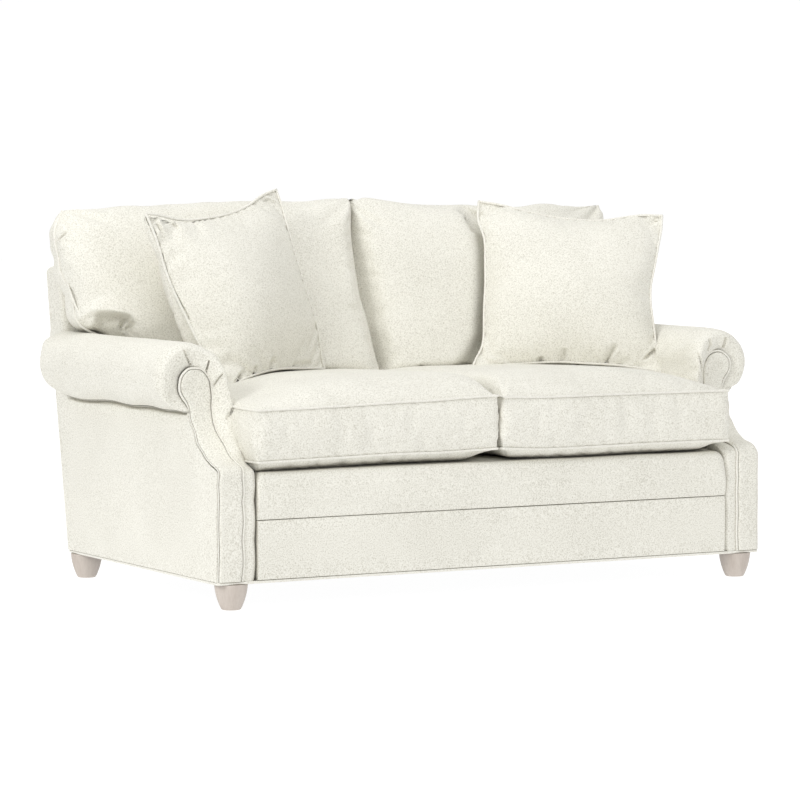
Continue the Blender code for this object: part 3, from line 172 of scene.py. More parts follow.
# Back cushions: share of the overhang at each height, and of the top's drop at each width
OVERHANG_SHARES = (
    (0.0, 0.0), (0.15, 0.02), (0.245, 0.14), (0.32, 0.58),
    (0.53, 0.80), (0.76, 1.0), (0.88, 0.98), (1.0, 0.78),
)
TOP_SHARES = {
    -1: ((0.0, 0.12), (0.03, 0.0), (0.14, 0.10), (0.5, 0.14), (0.66, 0.38), (0.86, 0.62), (1.0, 1.0)),
    1: ((0.0, 0.25), (0.06, 0.0), (0.12, 0.02), (0.28, 0.42), (0.43, 0.46), (0.9, 0.75), (1.0, 1.1)),
}

# Camera at the photograph's viewing angle
CAMERA_PLACE = Vector((-4.438176, -7.892132, 1.024992))
CAMERA_YAW = math.radians(29.315)
CAMERA_PITCH = math.radians(3.661)
CAMERA_LENS = 160.05
SENSOR = 36.0
PHOTO_SIDE = 800
FOCAL = CAMERA_LENS / SENSOR * PHOTO_SIDE

# Meshes
WELD = 0.00004
SHARP_ANGLE = math.radians(50)
CORNER_TURNS = [math.radians(angle) for angle in (15, 30, 45, 60, 75, 90)]
CORD_SIDES = 12
BACK_CORD_SIDES = 10
LOOSE_CORD_SIDES = 8


# Numbers

def ease(value):
    value = np.clip(value, 0.0, 1.0)
    return value * value * (3.0 - 2.0 * value)


def blend(shares, at):
    """Read a table of shares with a smooth curve through its rows."""
    xs = np.array([row[0] for row in shares])
    ys = np.array([row[1] for row in shares])
    slopes = np.gradient(ys, xs)
    k = int(np.clip(np.searchsorted(xs, at) - 1, 0, len(xs) - 2))
    h = xs[k + 1] - xs[k]
    t = float(np.clip((at - xs[k]) / h, 0.0, 1.0))
    h00 = 2 * t**3 - 3 * t**2 + 1
    h10 = t**3 - 2 * t**2 + t
    h01 = -2 * t**3 + 3 * t**2
    h11 = t**3 - t**2
    return float(h00 * ys[k] + h10 * h * slopes[k] + h01 * ys[k + 1] + h11 * h * slopes[k + 1])


def round_share(share, power, root):
    return max(1.0 - abs(2.0 * share - 1.0) ** power, 0.0) ** (1.0 / root)


def back_y(z, inset=0.0):
    return BACK_FOOT_Y + z * SLOPE - inset / math.cos(BACK_RAKE)


def raked(v, u):
    y = BACK_FOOT_Y + v * math.cos(BACK_RAKE) + u * math.sin(BACK_RAKE)
    return y, u * math.cos(BACK_RAKE) - v * math.sin(BACK_RAKE)


def seat_plane(y):
    return SEAT_CROWN - (y - SEAT_CROWN_Y) * math.tan(SEAT_PITCH)


def side_name(side):
    return "left" if side < 0 else "right"


# Meshes

class Sheets:
    """Collects grids of points into one mesh whose shared borders are welded."""

    def __init__(self):
        self.verts = []
        self.faces = []

    def grid(self, rows, flip=False, closed=False):
        rows = np.asarray(rows, float)
        start = len(self.verts)
        count_r, count_c = rows.shape[:2]
        self.verts.extend(rows.reshape(-1, 3).tolist())
        last = count_c if closed else count_c - 1
        for r in range(count_r - 1):
            for c in range(last):
                d = (c + 1) % count_c
                a, b = start + r * count_c + c, start + r * count_c + d
                e, f = a + count_c, b + count_c
                self.faces.append((a, e, f, b) if flip else (a, b, f, e))

    def fan(self, ring, flip=False):
        ring = np.asarray(ring, float)
        start = len(self.verts)
        self.verts.extend(ring.tolist())
        self.verts.append(ring.mean(axis=0).tolist())
        centre = start + len(ring)
        for i in range(len(ring)):
            j = (i + 1) % len(ring)
            face = (start + i, start + j, centre)
            self.faces.append(tuple(reversed(face)) if flip else face)

    def build(self, name, weld=WELD):
        bm = bmesh.new()
        points = [bm.verts.new(place) for place in self.verts]
        for face in self.faces:
            if len(set(face)) == len(face):
                bm.faces.new([points[i] for i in face])
        bmesh.ops.remove_doubles(bm, verts=bm.verts, dist=weld)
        bmesh.ops.dissolve_degenerate(bm, edges=bm.edges, dist=weld / 4)
        return bm_object(name, bm)


def one_sheet(name, rows, weld=WELD, **options):
    """A piece made of one grid of points."""
    sheets = Sheets()
    sheets.grid(rows, **options)
    return sheets.build(name, weld)


def grid_of(point, columns, rows):
    """Rows of points from a function of two shares."""
    return np.array([[point(i / columns, j / rows) for i in range(columns + 1)] for j in range(rows + 1)])


def rim_of(grid):
    """The points round the edge of a grid."""
    return np.vstack([grid[0, :-1], grid[:-1, -1], grid[-1, :0:-1], grid[:0:-1, 0]])


def closed_line(points):
    return np.vstack([points, points[:1]])


def bm_object(name, bm):
    bmesh.ops.recalc_face_normals(bm, faces=bm.faces)
    closed = all(edge.is_manifold for edge in bm.edges)
    if closed and bm.calc_volume(signed=True) < 0.0:
        bmesh.ops.reverse_faces(bm, faces=bm.faces)
    mesh = bpy.data.meshes.new(name)
    bm.to_mesh(mesh)
    bm.free()
    mesh.shade_smooth()
    mesh.set_sharp_from_angle(angle=SHARP_ANGLE)
    obj = bpy.data.objects.new(name, mesh)
    bpy.context.scene.collection.objects.link(obj)
    return obj


def coords(obj):
    out = np.empty(len(obj.data.vertices) * 3)
    obj.data.vertices.foreach_get("co", out)
    return out.reshape(-1, 3)


def normals(obj):
    return np.array([v.vector for v in obj.data.vertex_normals], float)


def set_coords(obj, places):
    obj.data.vertices.foreach_set("co", np.ascontiguousarray(places, float).ravel())
    obj.data.update()


def apply_modifiers(obj):
    graph = bpy.context.evaluated_depsgraph_get()
    mesh = bpy.data.meshes.new_from_object(obj.evaluated_get(graph), depsgraph=graph)
    old = obj.data
    obj.modifiers.clear()
    obj.data = mesh
    mesh.name = obj.name
    bpy.data.meshes.remove(old)
    mesh.shade_smooth()
    mesh.set_sharp_from_angle(angle=SHARP_ANGLE)


def thicken(obj, thickness):
    """Give a cover its thickness on the inside."""
    modifier = obj.modifiers.new("thickness", "SOLIDIFY")
    modifier.thickness = thickness
    modifier.offset = -1.0
    modifier.use_even_offset = False
    apply_modifiers(obj)


def thicken_along(obj, thickness, inward):
    """Thicken a sheet towards the side that a direction points to."""
    if normals(obj).mean(axis=0) @ np.array(inward) > 0:
        obj.data.flip_normals()
    thicken(obj, thickness)


def tube_mesh(name, points, radius, sides, closed=False):
    """Cord of round section along a line of points."""
    points = np.asarray(points, float)
    count = len(points)
    if closed:
        along = np.roll(points, -1, axis=0) - np.roll(points, 1, axis=0)
    else:
        along = np.gradient(points, axis=0)
    along /= np.linalg.norm(along, axis=1)[:, None]
    frames = []
    up = Vector((0.0, 0.0, 1.0)) if abs(along[0][2]) < 0.9 else Vector((1.0, 0.0, 0.0))
    normal = Vector(along[0]).cross(up).normalized()
    for i in range(count):
        direction = Vector(along[i])
        normal = (normal - direction * normal.dot(direction)).normalized()
        frames.append((normal.copy(), direction.cross(normal).normalized()))
    rings = []
    for place, (first, second), reach in zip(points, frames, np.broadcast_to(radius, (count,))):
        rings.append(
            [
                np.array(Vector(place) + (first * math.cos(a) + second * math.sin(a)) * float(reach))
                for a in (2 * math.pi * k / sides for k in range(sides))
            ]
        )
    sheets = Sheets()
    if closed:
        rings.append(rings[0])
    sheets.grid(rings, closed=True)
    if not closed:
        sheets.fan(rings[0])
        sheets.fan(rings[-1], flip=True)
    return sheets.build(name)


def smooth_line(points, steps, closed=False):
    """A finer smooth line through a few points."""
    points = np.asarray(points, float)
    if closed:
        points = np.vstack([points[-1], points, points[0], points[1]])
    else:
        points = np.vstack([2 * points[0] - points[1], points, 2 * points[-1] - points[-2]])
    out = []
    for k in range(1, len(points) - 2):
        p0, p1, p2, p3 = points[k - 1 : k + 3]
        for s in range(steps):
            t = s / steps
            bend = 2 * p0 - 5 * p1 + 4 * p2 - p3
            twist = 3 * p1 - p0 - 3 * p2 + p3
            out.append(0.5 * (2 * p1 + (p2 - p0) * t + bend * t**2 + twist * t**3))
    if not closed:
        out.append(points[-2])
    return np.array(out)


def ripple(places, wave, seed):
    """Smooth random swell, from -1 to 1, over a set of points."""
    shift = Vector((seed * 3.17, seed * 1.93, seed * 0.71))
    return np.array([noise.noise(Vector(p) / wave + shift) for p in places])


def undulate(obj, amount, wave, seed, keep=1.0):
    """Swell a surface gently, by a share of its own at each point."""
    places = coords(obj)
    push = amount * ripple(places, wave, seed) * keep
    set_coords(obj, places + normals(obj) * push[:, None])


def line_distance(places, line):
    """Distance of each point from a line of points, its share along the line, and the way to it."""
    best = np.full(len(places), 1e9)
    share = np.zeros(len(places))
    away = np.zeros((len(places), 3))
    along = np.zeros((len(places), 3))
    lengths = np.linalg.norm(np.diff(line, axis=0), axis=1)
    total = lengths.sum()
    run = 0.0
    for k in range(len(line) - 1):
        a, d = line[k], line[k + 1] - line[k]
        t = ((places - a) @ d) / max(d @ d, 1e-12)
        t = np.clip(t, 0.0, 1.0)
        off = places - a - t[:, None] * d
        far = np.linalg.norm(off, axis=1)
        closer = far < best
        best = np.where(closer, far, best)
        share = np.where(closer, (run + t * lengths[k]) / total, share)
        away[closer] = off[closer]
        along[closer] = d / max(lengths[k], 1e-9)
        run += lengths[k]
    return best, share, away, along


def refine(obj, line, reach, levels):
    """Split the faces near a line so that a fold fits between the points."""
    bm = bmesh.new()
    bm.from_mesh(obj.data)
    for _ in range(levels):
        places = np.array([v.co for v in bm.verts], float)
        near = line_distance(places, line)[0] < reach
        bm.verts.index_update()
        edges = [e for e in bm.edges if near[e.verts[0].index] and near[e.verts[1].index]]
        bmesh.ops.subdivide_edges(bm, edges=edges, cuts=1, use_grid_fill=True, smooth=0.0)
    bm.to_mesh(obj.data)
    bm.free()
    obj.data.shade_smooth()


def crease(obj, line, depth, width, ridge, fade, lean=0.0):
    """Press a fold into a piece along a line: steep on one side, eased on the other, with a low ridge."""
    places = coords(obj)
    normal = normals(obj)
    line = smooth_line(line, 6) if len(line) > 2 else np.asarray(line, float)
    far, share, away, along = line_distance(places, line)
    hold = np.ones(len(places))
    for reach, end_share in zip(fade, (share, 1.0 - share)):
        if reach > 0.0:
            hold = hold * ease(end_share / reach)
    side = np.sign((np.cross(along, normal) * away).sum(axis=1))
    signed = far * side
    spread = np.where(signed > 0.0, width * (1.0 + max(lean, 0.0)), width * (1.0 + max(-lean, 0.0)))
    push = -depth * np.exp(-((far / spread) ** 2))
    push += ridge * np.exp(-(((far - 2.3 * spread) / (1.3 * spread)) ** 2))
    set_coords(obj, places + normal * (push * hold)[:, None])


def fold(obj, pixels, depth, width, ridge, fade, lean, levels=1):
    """Press a fold along a line given by points of the picture."""
    line = on_surface(obj, pixels)
    if len(line) > 1:
        refine(obj, line, 4.0 * width, levels)
        crease(obj, line, depth, width, ridge, fade, lean)


# From the photograph's picture to the object

CAMERA_TURN = Matrix.Rotation(-CAMERA_YAW, 3, "Z") @ Matrix.Rotation(math.radians(90) - CAMERA_PITCH, 3, "X")


def picture_ray(x, y):
    half = PHOTO_SIDE / 2
    return (CAMERA_TURN @ Vector(((x - half) / FOCAL, (half - y) / FOCAL, -1.0))).normalized()


CAMERA_EYE = np.array(CAMERA_PLACE)
CAMERA_RIGHT = np.array(CAMERA_TURN @ Vector((1.0, 0.0, 0.0)))
CAMERA_UP = np.array(CAMERA_TURN @ Vector((0.0, 1.0, 0.0)))
CAMERA_AHEAD = np.array(CAMERA_TURN @ Vector((0.0, 0.0, -1.0)))


def in_picture(places):
    """Where points fall in the picture, and how far off they are."""
    local = (np.asarray(places, float) - CAMERA_EYE) @ np.array(CAMERA_TURN)
    depth = -local[:, 2]
    flat = np.column_stack([local[:, 0], -local[:, 1]]) / depth[:, None] * FOCAL + PHOTO_SIDE / 2
    return flat, depth


def pull(places, moves):
    """Shift points across the picture. Each move is x, y, shift right, shift down and reach."""
    flat, depth = in_picture(places)
    total = np.zeros((len(flat), 2))
    weight = np.zeros(len(flat))
    rest = np.ones(len(flat))
    for x, y, right, down, reach in moves:
        near = np.exp(-((flat - np.array((x, y))) ** 2).sum(axis=1) / reach**2)
        total += near[:, None] * np.array((right, down))
        weight += near
        rest *= 1.0 - near
    shift = total * ((1.0 - rest) / np.maximum(weight, 1e-9))[:, None] * (depth / FOCAL)[:, None]
    return places + shift[:, :1] * CAMERA_RIGHT - shift[:, 1:] * CAMERA_UP


def spaced(line, count):
    """Evenly spaced points on a line of the picture."""
    line = np.asarray(line, float)
    run = np.concatenate([[0.0], np.cumsum(np.linalg.norm(np.diff(line, axis=0), axis=1))])
    at = np.linspace(0.0, run[-1], count)
    return np.column_stack([np.interp(at, run, line[:, 0]), np.interp(at, run, line[:, 1])])


def draw_to(groups, lines, wanted, reaches, keeps=None):
    """Move groups of points so that some of their lines fall on given lines of the picture."""
    groups = [np.array(group, float) for group in groups]
    lines = [np.array(line, float) for line in lines]
    keeps = keeps or [1.0] * len(groups)
    for reach in reaches:
        moves = []
        for line, goal in zip(lines, wanted):
            flat = in_picture(line)[0]
            length = np.linalg.norm(np.diff(flat, axis=0), axis=1).sum()
            count = max(3, int(length / (reach * 0.55)) + 1)
            for (x, y), (goal_x, goal_y) in zip(spaced(flat, count), spaced(goal, count)):
                moves.append((x, y, goal_x - x, goal_y - y, reach))
        for k, (group, keep) in enumerate(zip(groups, keeps)):
            share = np.broadcast_to(np.asarray(keep, float), (len(group),))[:, None]
            groups[k] = group + (pull(group, moves) - group) * share
        lines = [pull(line, moves) for line in lines]
    return groups


def inside_depth(flat, polygon):
    """Distance inside a polygon of the picture, negative outside it."""
    polygon = np.asarray(polygon, float)
    best = np.full(len(flat), 1e9)
    inside = np.zeros(len(flat), bool)
    for a, b in zip(polygon, np.roll(polygon, -1, axis=0)):
        d = b - a
        t = np.clip(((flat - a) @ d) / max(d @ d, 1e-9), 0.0, 1.0)
        best = np.minimum(best, np.linalg.norm(flat - a - t[:, None] * d, axis=1))
        crosses = (a[1] > flat[:, 1]) != (b[1] > flat[:, 1])
        at = a[0] + (flat[:, 1] - a[1]) / (b[1] - a[1] if b[1] != a[1] else 1e-9) * d[0]
        inside ^= crosses & (flat[:, 0] < at)
    return np.where(inside, best, -best)


def press(obj, polygon, depth, soft, tilt=None):
    """Push the part of a piece that shows inside a polygon of the picture away from the camera."""
    places = coords(obj)
    flat, far = in_picture(places)
    facing = ease(-(normals(obj) * (places - CAMERA_EYE)).sum(axis=1) / far / 0.25)
    share = ease(inside_depth(flat, polygon) / soft + 0.5) * facing
    if tilt is not None:
        start, end = tilt
        share = share * ease((flat[:, 0] - start) / (end - start))
    way = (places - CAMERA_EYE) / far[:, None]
    set_coords(obj, places + way * (share * depth)[:, None])


def on_surface(obj, pixels):
    """Places on a piece that lie behind some points of the picture."""
    tree = BVHTree.FromPolygons([v.co for v in obj.data.vertices], [p.vertices for p in obj.data.polygons])
    found = []
    for x, y in pixels:
        hit = tree.ray_cast(CAMERA_PLACE, picture_ray(x, y))[0]
        if hit:
            found.append(np.array(hit))
    return np.array(found)


# Cloth

CLOTH_FRAMES = 20
CLOTH_STIFFNESS = 15.0


def puff(obj, pinned, pressure, cap, growth):
    """Blow a closed cushion up with its seams held, then keep the cloth's shape within a cap."""
    start = coords(obj)
    group = obj.vertex_groups.new(name="seams")
    for index, weight in enumerate(pinned):
        if weight > 0.0:
            group.add([index], float(weight), "REPLACE")
    modifier = obj.modifiers.new("cloth", "CLOTH")
    settings = modifier.settings
    settings.quality = 6
    settings.mass = 0.3
    settings.tension_stiffness = CLOTH_STIFFNESS
    settings.compression_stiffness = CLOTH_STIFFNESS
    settings.shear_stiffness = CLOTH_STIFFNESS / 3
    settings.bending_stiffness = 0.5
    settings.use_pressure = True
    settings.uniform_pressure_force = pressure
    settings.shrink_min = -growth
    settings.vertex_group_mass = "seams"
    settings.effector_weights.gravity = 0.0
    modifier.collision_settings.use_collision = False
    modifier.collision_settings.use_self_collision = False
    modifier.point_cache.frame_start = 1
    modifier.point_cache.frame_end = CLOTH_FRAMES
    scene = bpy.context.scene
    for step in range(1, CLOTH_FRAMES + 1):
        scene.frame_set(step)
    graph = bpy.context.evaluated_depsgraph_get()
    blown = obj.evaluated_get(graph).to_mesh()
    out = np.empty(len(blown.vertices) * 3)
    blown.vertices.foreach_get("co", out)
    obj.evaluated_get(graph).to_mesh_clear()
    obj.modifiers.clear()
    obj.vertex_groups.clear()
    scene.frame_set(1)
    move = out.reshape(-1, 3) - start
    size = np.linalg.norm(move, axis=1)
    limit = cap * np.tanh(size / cap)
    scale = np.where(size > 1e-9, limit / np.maximum(size, 1e-9), 0.0)
    set_coords(obj, start + move * scale[:, None])


# Materials

def new_material(name):
    material = bpy.data.materials.new(name)
    material.use_nodes = True
    tree = material.node_tree
    return material, tree, tree.nodes["Principled BSDF"]


def link(tree, source, target):
    tree.links.new(source, target)


def set_inputs(node, **values):
    """Set inputs by name, with _ for a space."""
    for name, value in values.items():
        node.inputs[name.replace("_", " ")].default_value = value


def noise_node(tree, vector, scale, detail, roughness):
    node = tree.nodes.new("ShaderNodeTexNoise")
    set_inputs(node, Scale=scale, Detail=detail, Roughness=roughness)
    link(tree, vector, node.inputs["Vector"])
    return node.outputs["Fac"]


def math_node(tree, operation, *values):
    node = tree.nodes.new("ShaderNodeMath")
    node.operation = operation
    for socket, value in zip(node.inputs, values):
        if isinstance(value, (int, float)):
            socket.default_value = value
        else:
            link(tree, value, socket)
    return node.outputs[0]


def weighted(tree, first, first_share, second, second_share):
    """Sum of two values, each times its share."""
    first_part = math_node(tree, "MULTIPLY", first, first_share)
    return math_node(tree, "ADD", first_part, math_node(tree, "MULTIPLY", second, second_share))


def grey(level):
    return (level, level, level)


def ramp_node(tree, factor, stops):
    node = tree.nodes.new("ShaderNodeValToRGB")
    elements = node.color_ramp.elements
    while len(elements) < len(stops):
        elements.new(0.5)
    for element, (place, colour) in zip(elements, stops):
        element.position = place
        element.color = (*colour, 1.0)
    link(tree, factor, node.inputs["Fac"])
    return node.outputs["Color"]


def multiply_colours(tree, first, second):
    node = tree.nodes.new("ShaderNodeMix")
    node.data_type = "RGBA"
    node.blend_type = "MULTIPLY"
    node.inputs["Factor"].default_value = 1.0
    link(tree, first, node.inputs["A"])
    link(tree, second, node.inputs["B"])
    return node.outputs["Result"]


def bump_node(tree, shader, height, strength, distance):
    node = tree.nodes.new("ShaderNodeBump")
    set_inputs(node, Strength=strength, Distance=distance)
    link(tree, height, node.inputs["Height"])
    link(tree, node.outputs["Normal"], shader.inputs["Normal"])


def object_vector(tree, scale=(1.0, 1.0, 1.0)):
    place = tree.nodes.new("ShaderNodeTexCoord")
    mapping = tree.nodes.new("ShaderNodeMapping")
    mapping.inputs["Scale"].default_value = scale
    link(tree, place.outputs["Object"], mapping.inputs["Vector"])
    return mapping.outputs["Vector"]


def fabric(name, light, dark, speck):
    """Looped off-white yarn: pale knots over a slightly darker ground, with a few dull specks, and painted
    shade darkening it in creases, seams, grooves and between parts.
    """
    material, tree, shader = new_material(name)
    vector = object_vector(tree)
    dots = tree.nodes.new("ShaderNodeTexVoronoi")
    dots.inputs["Scale"].default_value = 320.0
    link(tree, vector, dots.inputs["Vector"])
    loops = dots.outputs["Distance"]
    yarn = noise_node(tree, vector, 330.0, 1.0, 0.5)
    slow = noise_node(tree, vector, 7.0, 2.0, 0.5)
    ground = weighted(tree, yarn, 0.80, slow, 0.10)
    knots = math_node(tree, "SUBTRACT", ground, math_node(tree, "MULTIPLY", loops, 0.10))
    colour = ramp_node(tree, knots, ((0.22, speck), (0.33, dark), (0.52, light)))
    tone = ramp_node(tree, slow, ((0.25, grey(0.98)), (0.75, grey(1.0))))
    colour = multiply_colours(tree, colour, tone)
    # Painted shade: an ambient occlusion node darkens the colour in creases, grooves, seams and between
    # parts, down to about half in the deepest ones
    painted_crease_shade = tree.nodes.new("ShaderNodeAmbientOcclusion")
    painted_crease_shade.samples = 4
    painted_crease_shade.inputs["Distance"].default_value = 0.020
    stops = ((0.10, (0.42, 0.41, 0.38)), (0.36, (0.84, 0.83, 0.81)), (0.62, grey(1.0)))
    colour = multiply_colours(tree, colour, ramp_node(tree, painted_crease_shade.outputs["AO"], stops))
    link(tree, colour, shader.inputs["Base Color"])
    link(tree, math_node(tree, "MULTIPLY_ADD", yarn, 0.14, 0.83), shader.inputs["Roughness"])
    set_inputs(shader, Sheen_Weight=0.12, Sheen_Roughness=0.6, Specular_IOR_Level=0.25)
    height = math_node(tree, "SUBTRACT", ground, math_node(tree, "MULTIPLY", loops, 0.4))
    bump_node(tree, shader, height, 0.4, 0.0010)
    return material


def wood(name, pale, deep, roughness, grain, glaze=0.0):
    """Streaks drawn out along the grain, which is the axis with the small scale."""
    material, tree, shader = new_material(name)
    streaks = noise_node(tree, object_vector(tree, grain), 1.0, 5.0, 0.65)
    fine = noise_node(tree, object_vector(tree, tuple(g * 6 for g in grain)), 1.0, 3.0, 0.6)
    mixed = weighted(tree, streaks, 0.7, fine, 0.3)
    colour = ramp_node(tree, mixed, ((0.30, deep), (0.62, pale)))
    link(tree, colour, shader.inputs["Base Color"])
    link(tree, math_node(tree, "MULTIPLY_ADD", fine, 0.2, roughness - 0.1), shader.inputs["Roughness"])
    set_inputs(shader, Coat_Weight=glaze, Coat_Roughness=0.4)
    bump_node(tree, shader, mixed, 0.3, 0.0006)
    return material


def steel(name):
    material, tree, shader = new_material(name)
    marks = noise_node(tree, object_vector(tree), 180.0, 4.0, 0.7)
    colour = ramp_node(tree, marks, ((0.3, (0.30, 0.30, 0.31)), (0.7, (0.52, 0.52, 0.54))))
    link(tree, colour, shader.inputs["Base Color"])
    shader.inputs["Metallic"].default_value = 1.0
    link(tree, math_node(tree, "MULTIPLY_ADD", marks, 0.25, 0.25), shader.inputs["Roughness"])
    bump_node(tree, shader, marks, 0.2, 0.0002)
    return material


def cloth(name, light, dark, pitch):
    """Plain woven lining: crossed threads with slight unevenness."""
    material, tree, shader = new_material(name)
    vector = object_vector(tree)
    threads = []
    for direction in ("X", "Y"):
        wave = tree.nodes.new("ShaderNodeTexWave")
        wave.bands_direction = direction
        set_inputs(wave, Scale=pitch, Distortion=1.2, Detail=1.0)
        link(tree, vector, wave.inputs["Vector"])
        threads.append(wave.outputs["Fac"])
    weave = math_node(tree, "MULTIPLY", *threads)
    mixed = weighted(tree, weave, 0.5, noise_node(tree, vector, 25.0, 3.0, 0.6), 0.5)
    link(tree, ramp_node(tree, mixed, ((0.2, dark), (0.7, light))), shader.inputs["Base Color"])
    shader.inputs["Roughness"].default_value = 0.95
    bump_node(tree, shader, weave, 0.4, 0.0005)
    return material


WHITEWASH = ((0.585, 0.525, 0.47), (0.47, 0.41, 0.36))
TIMBER = ((0.62, 0.45, 0.28), (0.42, 0.28, 0.15))
MATERIALS = {
    "cover_fabric": fabric("cover_cloth", (0.865, 0.85, 0.775), (0.735, 0.718, 0.64), (0.60, 0.58, 0.50)),
    "cushion_fabric": fabric("cushion_cloth", (0.87, 0.855, 0.78), (0.745, 0.728, 0.65), (0.61, 0.59, 0.51)),
    "pillow_fabric": fabric("pillow_cloth", (0.87, 0.855, 0.78), (0.745, 0.728, 0.65), (0.61, 0.59, 0.51)),
    "welt_fabric": fabric("welt_cloth", (0.86, 0.845, 0.78), (0.79, 0.772, 0.70), (0.70, 0.68, 0.60)),
    "deck_cloth": cloth("deck_lining", (0.74, 0.72, 0.64), (0.60, 0.58, 0.50), 260.0),
    "dust_cloth": cloth("dust_lining", (0.030, 0.030, 0.032), (0.012, 0.012, 0.013), 300.0),
    "whitewashed_wood": wood("whitewashed_wood", *WHITEWASH, 0.6, (55.0, 55.0, 7.0), 0.04),
    "timber": wood("frame_timber", *TIMBER, 0.7, (8.0, 45.0, 45.0)),
    "spring_steel": steel("drawn_steel"),
}


def add_piece(obj, slot, body, nodes=()):
    """Give a piece its material and body, and hide the parts of the model that it stands for."""
    obj.data.materials.clear()
    obj.data.materials.append(MATERIALS[slot])
    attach(obj, body)
    if nodes:
        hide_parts(*nodes)
    return obj


def cord_piece(name, points, radius, sides, body, nodes=(), closed=False):
    """Fabric-covered piping along a line."""
    add_piece(tube_mesh(name, points, radius, sides, closed), "welt_fabric", body, nodes)


# Arms

def sweep_y(z):
    corner_z = SHELF_HEIGHT - SHELF_CORNER
    if z <= corner_z:
        return CAP_Y
    if z <= SHELF_HEIGHT:
        rise = z - corner_z
        return CAP_Y + SHELF_CORNER - math.sqrt(SHELF_CORNER**2 - rise**2)
    if z >= ELLIPSE_Z:
        return CAP_Y + SWEEP_DEPTH
    share = (ELLIPSE_Z - z) / SWEEP_RISE
    return CAP_Y + max(SHELF_CORNER, SWEEP_DEPTH * math.sqrt(1.0 - share * share))


def lower_levels():
    """Level lines of the arm up to the seam under the roll."""
    corner_z = SHELF_HEIGHT - SHELF_CORNER
    levels = list(np.linspace(COVER_BOTTOM, corner_z, 14))
    levels += [corner_z + SHELF_CORNER * math.sin(math.radians(a)) for a in (12, 24, 36, 48, 60, 72, 81)]
    turn = math.acos((ELLIPSE_Z - SEAM_Z) / SWEEP_RISE)
    levels += [ELLIPSE_Z - SWEEP_RISE * math.cos(turn * s) for s in np.linspace(0.09, 1.0, 26)]
    return levels


def roll_levels(count):
    return [ROLL_Z - ROLL_RADIUS * math.cos(s * math.pi) for s in np.linspace(0.0, 1.0, count)[1:-1]]


def sweep_normals(levels):
    out = []
    for low, high in zip([levels[0]] + levels[:-1], levels[1:] + [levels[-1]]):
        along = Vector((sweep_y(high) - sweep_y(low), high - low)).normalized()
        out.append(Vector((-along.y, along.x)))
    return out


def arm_inner_x(z):
    if z >= ROLL_Z:
        return ROLL_X - math.sqrt(max(ROLL_RADIUS**2 - (z - ROLL_Z) ** 2, 0.0))
    roll_inner = ROLL_X - ROLL_RADIUS
    return INNER_X + (roll_inner - INNER_X) * float(ease((z - ROLL_Z + INNER_EASE) / INNER_EASE))


def arm_outer_x(z):
    if z <= SEAM_Z:
        return PAD_OUTER_X
    return max(PAD_OUTER_X, ROLL_X + math.sqrt(max(ROLL_RADIUS**2 - (z - ROLL_Z) ** 2, 0.0)))


def rim_round(z, inner):
    if inner and z > ROLL_Z:
        return INNER_RIM_ROUND + (RIM_ROUND - INNER_RIM_ROUND) * float(ease((z - ROLL_Z) / ROLL_RADIUS))
    if inner:
        climb = float(ease((z - SHELF_HEIGHT) / (ROLL_Z - SHELF_HEIGHT)))
        return BAND_ROUND + (INNER_RIM_ROUND - BAND_ROUND) * climb
    return SIDE_ROUND + (RIM_ROUND - SIDE_ROUND) * float(ease((z - SEAM_Z) / ROLL_RADIUS))


def rim_proud(z, inner):
    rise = float(ease((z - SHELF_HEIGHT) / (ROLL_RADIUS / 2)))
    fall = 1.0 - float(ease((z - ROLL_Z) / ROLL_RADIUS)) / 2
    outer_share = float(ease((z - SEAM_Z) / ROLL_RADIUS)) / 2
    return RIM_PROUD * (rise * fall if inner else outer_share)


def arm_chain(share):
    """Line over the arm, from the inside bottom over the roll to the seam under it."""
    turn = share * math.pi / 2
    points = []

    def add(x, z, inner):
        radius = rim_round(z, inner)
        inset = radius * (1.0 - math.sin(turn))
        bulge = rim_proud(z, inner) * max(math.sin(2 * turn), 0.0) ** RIM_PROUD_POWER
        set_back = radius * (1.0 - math.cos(turn)) - bulge
        place = Vector((x, z))
        if z > ROLL_Z:
            centre = Vector((ROLL_X, ROLL_Z))
            place = centre + (place - centre) * (1.0 - inset / ROLL_RADIUS)
        else:
            place.x += inset if inner else -inset
        points.append((place.x, sweep_y(place.y) + set_back, place.y))

    roll = roll_levels(74)
    for z in lower_levels() + roll:
        add(arm_inner_x(z), z, True)
    add(ROLL_X, ARM_HEIGHT, True)
    for z in reversed(roll):
        add(arm_outer_x(z), z, False)
    add(ROLL_X + 0.012, SEAM_Z + 0.0006, False)
    tuck = points[-1]
    points += [(tuck[0] - step, tuck[1], tuck[2] + 0.0004) for step in (0.012, 0.026, 0.042)]
    return np.array(points)


PEAK_ROW = 4


